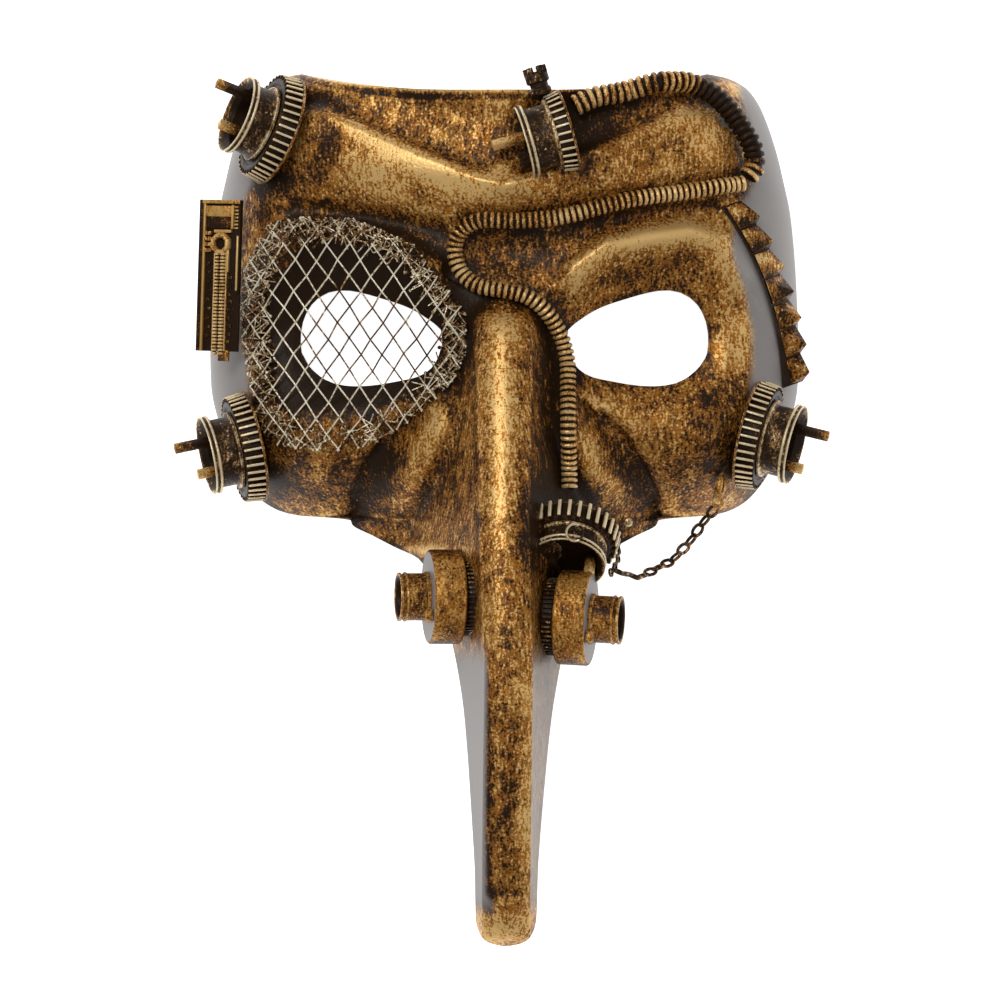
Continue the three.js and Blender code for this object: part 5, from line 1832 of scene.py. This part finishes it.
@dataclass
class SmallParts:
    """Castle nut, eyelet, rivet, clasp and chain."""

    nut_at: Sequence[float] = (9.8, 76.2, 66)
    nut_turn: float = 17.0
    merlons: int = 6
    eyelet_at: Sequence[float] = (20.6, -57.6, 78.6)
    rivet_at: Row = (37.2, -54.6)
    clasp_at: Sequence[float] = (64.6, -44.9, 38)
    clasp_turn: float = -10.3
    link: Sequence[float] = (5.2, 3.9, 0.52, 3.5)
    upper_link: Sequence[float] = (3.6, 2.8, 0.36, 2.5)
    chain_route: Sequence[Sequence[float]] = (
        (62.6, -51.4, 37), (59.1, -55.5, 37.3), (56, -60, 38.5), (53, -63.3, 40), (49.9, -66.3, 42),
        (46.2, -68.1, 45), (42.9, -69.8, 48), (39.8, -71, 51), (36.8, -70.2, 54.5), (34, -69.4, 58),
    )
    upper_route: Sequence[Sequence[float]] = (
        (31.6, -69.6, 58), (33, -67.7, 53), (34, -64.7, 48), (34.2, -61.8, 43), (34, -58.9, 38.5),
    )

    def build(self, shop: Workshop) -> None:
        """Makes the small parts.

        Args:
            shop: the workshop that finishes them.
        """
        neck = turned([
            (0, -4.2), (2.9, -4.2), (3.2, -3.6), (3.2, -2.6), (2.7, -2.2), (2.7, -0.9), (3.5, -0.5),
            (3.5, 1.7), (2.3, 1.9), (2.3, 2.6), (0, 2.6),
        ], 24, dark=(4, 5))
        for k in range(self.merlons):
            merlon = block((1.3, 1.7, 2.4), (2.9, 0, 2.9))
            neck += merlon.placed(Matrix.Rotation(2 * math.pi * k / self.merlons, 4, "Z"))
        neck.marks["brushed"] = neck.mark("brushed") - 0.85
        upright = Matrix.Rotation(math.radians(self.nut_turn), 4, "Z") @ Matrix.Rotation(-math.pi / 2, 4, "X")
        shop.piece("castle_nut", neck.placed(Matrix.Translation(self.nut_at) @ upright), Slot.CUP,
                   ["brow_knob"], Finish(bevel=0.2, settled=False))
        ring = turned([
            (2.1, 0.2), (2.3, 0), (2.6, 0), (2.8, 0.3), (2.8, 2.1), (2.5, 2.4), (2.2, 2.3), (2.1, 2),
        ], 28, closed=True)
        gap = np.abs(np.arctan2(ring.points[:, 1], ring.points[:, 0])) < 0.9
        ring.marks["brushed"] = np.where(gap, -1.8, -0.1)
        shop.piece("eyelet", ring.placed(Matrix.Translation(self.eyelet_at)), Slot.CUP, ["nose_eyelet"],
                   Finish(wear=1.3, settled=False))
        head = turned([(0, -1), (1.5, -1), (1.6, 0.3), (1.3, 0.9), (0.7, 1.2), (0, 1.3)], 20)
        place = Matrix.Translation((*self.rivet_at, float(shop.face.skin(*self.rivet_at))))
        shop.piece("rivet_head", head.placed(place), Slot.CUP, ["rivet"], Finish(smoothing=1))
        self.build_clasp(shop)
        for name, route, link, nodes in (
            ("links", self.chain_route, self.link, ["chain"]),
            ("links_upper", self.upper_route, self.upper_link, []),
        ):
            sizes = dict(zip(("Length", "Width", "Wire", "Pitch"), link))
            mesh = shop.strung(name, smooth_line(route, count=90), shop.chain, Slot.CHAIN, sizes)
            shop.publish(name, mesh, Slot.CHAIN, nodes, Finish(settled=False))

    def build_clasp(self, shop: Workshop) -> None:
        """Makes the snap clasp: a drop-shaped body, slit down one side, and its ring."""
        frame = Matrix.Translation(self.clasp_at) @ Matrix.Rotation(math.radians(self.clasp_turn), 4, "Z")
        rows, sides = 22, 20
        points = [np.array([0, 5.4, 0])]
        for i in range(1, rows):
            share = i / rows
            y = 5.4 - 8.2 * share
            wide = 2.1 * math.sin(math.pi * share) ** 0.55 * (0.75 + 0.25 * share)
            for k in range(sides):
                around = 2 * math.pi * k / sides
                slit = 0.75 if abs(k - 3) < 1 and 0.2 < share < 0.75 else 1.0
                points.append(np.array([
                    wide * slit * math.cos(around), y, 0.8 * wide * slit * math.sin(around),
                ]))
        points.append(np.array([0, -2.8, 0]))
        last = len(points) - 1
        faces = [(0, 1 + (k + 1) % sides, 1 + k) for k in range(sides)]
        for i in range(rows - 2):
            for k in range(sides):
                n = (k + 1) % sides
                faces.append((1 + i * sides + k, 1 + i * sides + n, 1 + (i + 1) * sides + n,
                              1 + (i + 1) * sides + k))
        base = 1 + (rows - 2) * sides
        faces += [(last, base + k, base + (k + 1) % sides) for k in range(sides)]
        body = Form(np.array(points), faces)
        ring = turned([
            (1.3 + 0.5 * math.cos(a), 0.5 * math.sin(a))
            for a in (2 * math.pi * k / 10 for k in range(10))
        ], 24, closed=True)
        low = ring.placed(Matrix.Translation((0.2, -4.0, 0)))
        shop.piece("clasp", (body + low).placed(frame), Slot.PIN, ["chain_clasp"],
                   Finish(settled=False))


@dataclass
class Studio:
    """Pale floor, soft light and the camera, in metres."""

    middle: Row
    height: float = 2.0
    lens: float = 235.2
    sensor: float = 36.0
    floor_half: float = 3.0
    world: float = 0.3
    lights: Sequence[tuple[str, tuple[float, float, float], float, float]] = (
        ("key", (-0.35, 0.6, 1.3), 0.5, 8.6),
        ("fill", (0.9, -0.1, 0.9), 0.8, 2.0),
        ("low", (-0.6, -0.8, 0.9), 0.8, 1.0),
    )

    def floor(self) -> None:
        """A wide pale floor."""
        mesh, h = bpy.data.meshes.new("floor"), self.floor_half
        mesh.from_pydata([(-h, -h, 0), (h, -h, 0), (h, h, 0), (-h, h, 0)], [], [(0, 1, 2, 3)])
        material = bpy.data.materials.new("floor")
        material.use_nodes = True
        material.node_tree.nodes.clear()
        graph = Graph(material.node_tree)
        shader = graph.add("ShaderNodeBsdfPrincipled", {}, {
            "Base Color": rgba((0.9, 0.9, 0.9)), "Roughness": 0.7,
            "Emission Color": rgba((1.0, 1.0, 1.0)), "Emission Strength": 0.95,
        })
        graph.add("ShaderNodeOutputMaterial", {}, {"Surface": shader.outputs[0]})
        mesh.materials.append(material)
        linked("floor", mesh)

    def light(self, name: str, at: Sequence[float], size: float, power: float) -> None:
        """A soft square light that faces the mask."""
        lamp = bpy.data.lights.new(name, "AREA")
        lamp.shape, lamp.size, lamp.energy = "SQUARE", size, power
        made = linked(name, lamp)
        made.location = at
        made.rotation_euler = (Vector((*self.middle, 0.04)) - Vector(at)).to_track_quat("-Z", "Y").to_euler()

    def build(self) -> None:
        """Sets the floor, the lights and the camera."""
        self.floor()
        for name, at, size, power in self.lights:
            self.light(name, at, size, power)
        world = bpy.data.worlds.new("studio")
        world.use_nodes = True
        background = world.node_tree.nodes["Background"].inputs
        background["Color"].default_value = rgba((1.0, 1.0, 1.0))
        background["Strength"].default_value = self.world
        bpy.context.scene.world = world
        bpy.context.scene.view_settings.view_transform = "Standard"
        camera = linked("camera", bpy.data.cameras.new("camera"))
        camera.data.lens, camera.data.sensor_width = self.lens, self.sensor
        camera.location = (*self.middle, self.height)
        bpy.context.scene.camera = camera


CAMERA_OVER = (-1.35, -48.0)
THICK_ROUTE = [
    (21.5, 69.5), (27, 72), (34.2, 73.3), (41, 75.3), (47.1, 76.6), (53, 76.8), (60, 74.6), (66, 70),
    (71.4, 62.8), (74.6, 56.6), (75, 52), (73.4, 49.4),
]
THIN_ROUTE = [
    (71, 46.6), (64.2, 45.6), (52, 43.6), (39, 41.7), (28, 39), (17.9, 36.3), (9, 35.2), (1.9, 34.9),
    (-6, 35.2), (-11, 33.7), (-14, 30.5), (-14.9, 26.5), (-13.8, 21.5), (-10.8, 17.5), (-6.6, 15.3),
    (-0.8, 14.4), (5.5, 12.9), (10.8, 9.6), (14.8, 4.6), (17.6, -1.5), (18.8, -8), (18.9, -16),
    (18.9, -26), (19.2, -36.8), (19.3, -44),
]
THICK_COAT = [(0, -0.1), (0.3, -0.1), (0.46, -0.4), (0.55, -1.4), (0.88, -1.6), (0.95, -0.2), (1, 0.2)]
THIN_COAT = [
    (0, 0.45), (0.14, 0.4), (0.22, -0.2), (0.3, 0.1), (0.38, -0.25), (0.46, -0.1), (0.55, 0.35),
    (0.63, 0.1), (0.72, 0.3), (0.8, -0.1), (0.9, 0.25), (1, 0),
]


def hoses() -> list[Hose]:
    """The two hoses."""
    return [
        Hose("thick_hose", "upper_hose", 3.3, 0.95, 2.2, THICK_ROUTE, THICK_COAT),
        Hose("thin_hose", "lower_hose", 2.5, 0.75, 1.84, THIN_ROUTE, THIN_COAT),
    ]


def gear_units() -> list[GearUnit]:
    """The five gear units."""
    side, brow = Wheel(), Wheel(radius=12.2, depth=4.8, teeth=30, tooth=1.2)
    nose = Wheel(radius=15.0, teeth=30, tooth=2.2, bar=1.0, flange_over=-2.2)
    return [
        GearUnit("temple_left", side, 12, 8.6, (-67.2, 62.4, 43), 159, 20, (-6.4, 4.6)),
        GearUnit("cheek_left", side, 12, 8.6, (-75.4, -31.7, 33), 192, 12, (-4, 5)),
        GearUnit("cheek_right", side, 12.2, 8.6, (73.6, -28, 33), -14, 13, (4.8, -6.6)),
        GearUnit("brow", brow, 11, 9.2, (19.2, 61.8, 63), 196, 4, (-1.6, 6), (0.7, -0.8)),
        GearUnit("nose", nose, 11.7, 7, (19.7, -56.9, 62), 262, 40, (6.9, -4.4), (0.7, -1.4),
                 (2.5, 1.0)),
    ]


def paints() -> dict[Slot, bpy.types.Material]:
    """The material of each slot."""
    cream = (0.74, 0.6, 0.38)
    kinds = {
        Slot.MOULDING: DryBrushed("dry_brushed_moulding"),
        Slot.WHEEL: DryBrushed("dry_brushed_wheel", reach=-0.2, edge=2.6, bright=cream, blotch_mm=5.0,
                               grain_mm=0.5),
        Slot.CUP: DryBrushed("dry_brushed_cup", reach=0.16, edge=2.2, patchy=2.2, brown=(0.075, 0.04, 0.018),
                             gold=(0.42, 0.25, 0.09), warm=(0.4, 0.2, 0.06), bright=cream,
                             blotch_mm=5.0, grain_mm=0.6),
        Slot.PIN: DryBrushed("dry_brushed_pin", reach=0.52, edge=0.9, patchy=1.2, blotch_mm=5.0,
                             grain_mm=0.5),
        Slot.HOSE: DryBrushed("dry_brushed_hose", reach=0.2, edge=1.1, patchy=2.0, bright=(0.74, 0.5, 0.22),
                              grain_mm=0.4, smear_mm=1.6, blotch_mm=7.0),
        Slot.NET: DryBrushed("brushed_net", reach=0.85, patchy=1.4, gold=(0.5, 0.4, 0.24),
                             warm=(0.42, 0.3, 0.15), bright=(0.9, 0.82, 0.64), blotch_mm=7.0),
        Slot.PLATE: DryBrushed("dry_brushed_plate", reach=0.55, edge=1.1, bright=(0.62, 0.36, 0.11),
                               blotch_mm=9.0, grain_mm=0.6),
        Slot.SPIKES: DryBrushed("dry_brushed_spikes", reach=0.25, edge=1.5, patchy=1.8,
                                bright=(0.74, 0.5, 0.22), blotch_mm=6.0),
        Slot.CHAIN: DryBrushed("dark_chain", reach=-0.25, edge=1.3, patchy=1.6,
                               brown=(0.05, 0.03, 0.014), gold=(0.36, 0.23, 0.1), bright=cream,
                               blotch_mm=4.0),
    }
    return {slot: kind.build() for slot, kind in kinds.items()}


def main() -> None:
    """Builds the dressed mask on the loaded model."""
    logging.basicConfig(level=logging.INFO, format="%(message)s")
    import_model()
    shop = Workshop(Face(), paints())
    for part in (
        MaskShell(hoses=hoses(), units=gear_units()),
        *hoses(),
        *gear_units(),
        DrumUnit("left", (-9.6, -76.6, 68), 180, 10, 1),
        DrumUnit("right", (12.6, -82.4, 68), -3, 10, -1),
        EyeNet(),
        SidePlate(),
        SpikeStrip(),
        SmallParts(),
    ):
        part.build(shop)
    Studio(tuple((np.array(CAMERA_OVER) + shop.shift[:2]) * MM)).build()
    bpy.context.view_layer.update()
    log.info("%d pieces made", shop.made)


if __name__ == "__main__":
    main()
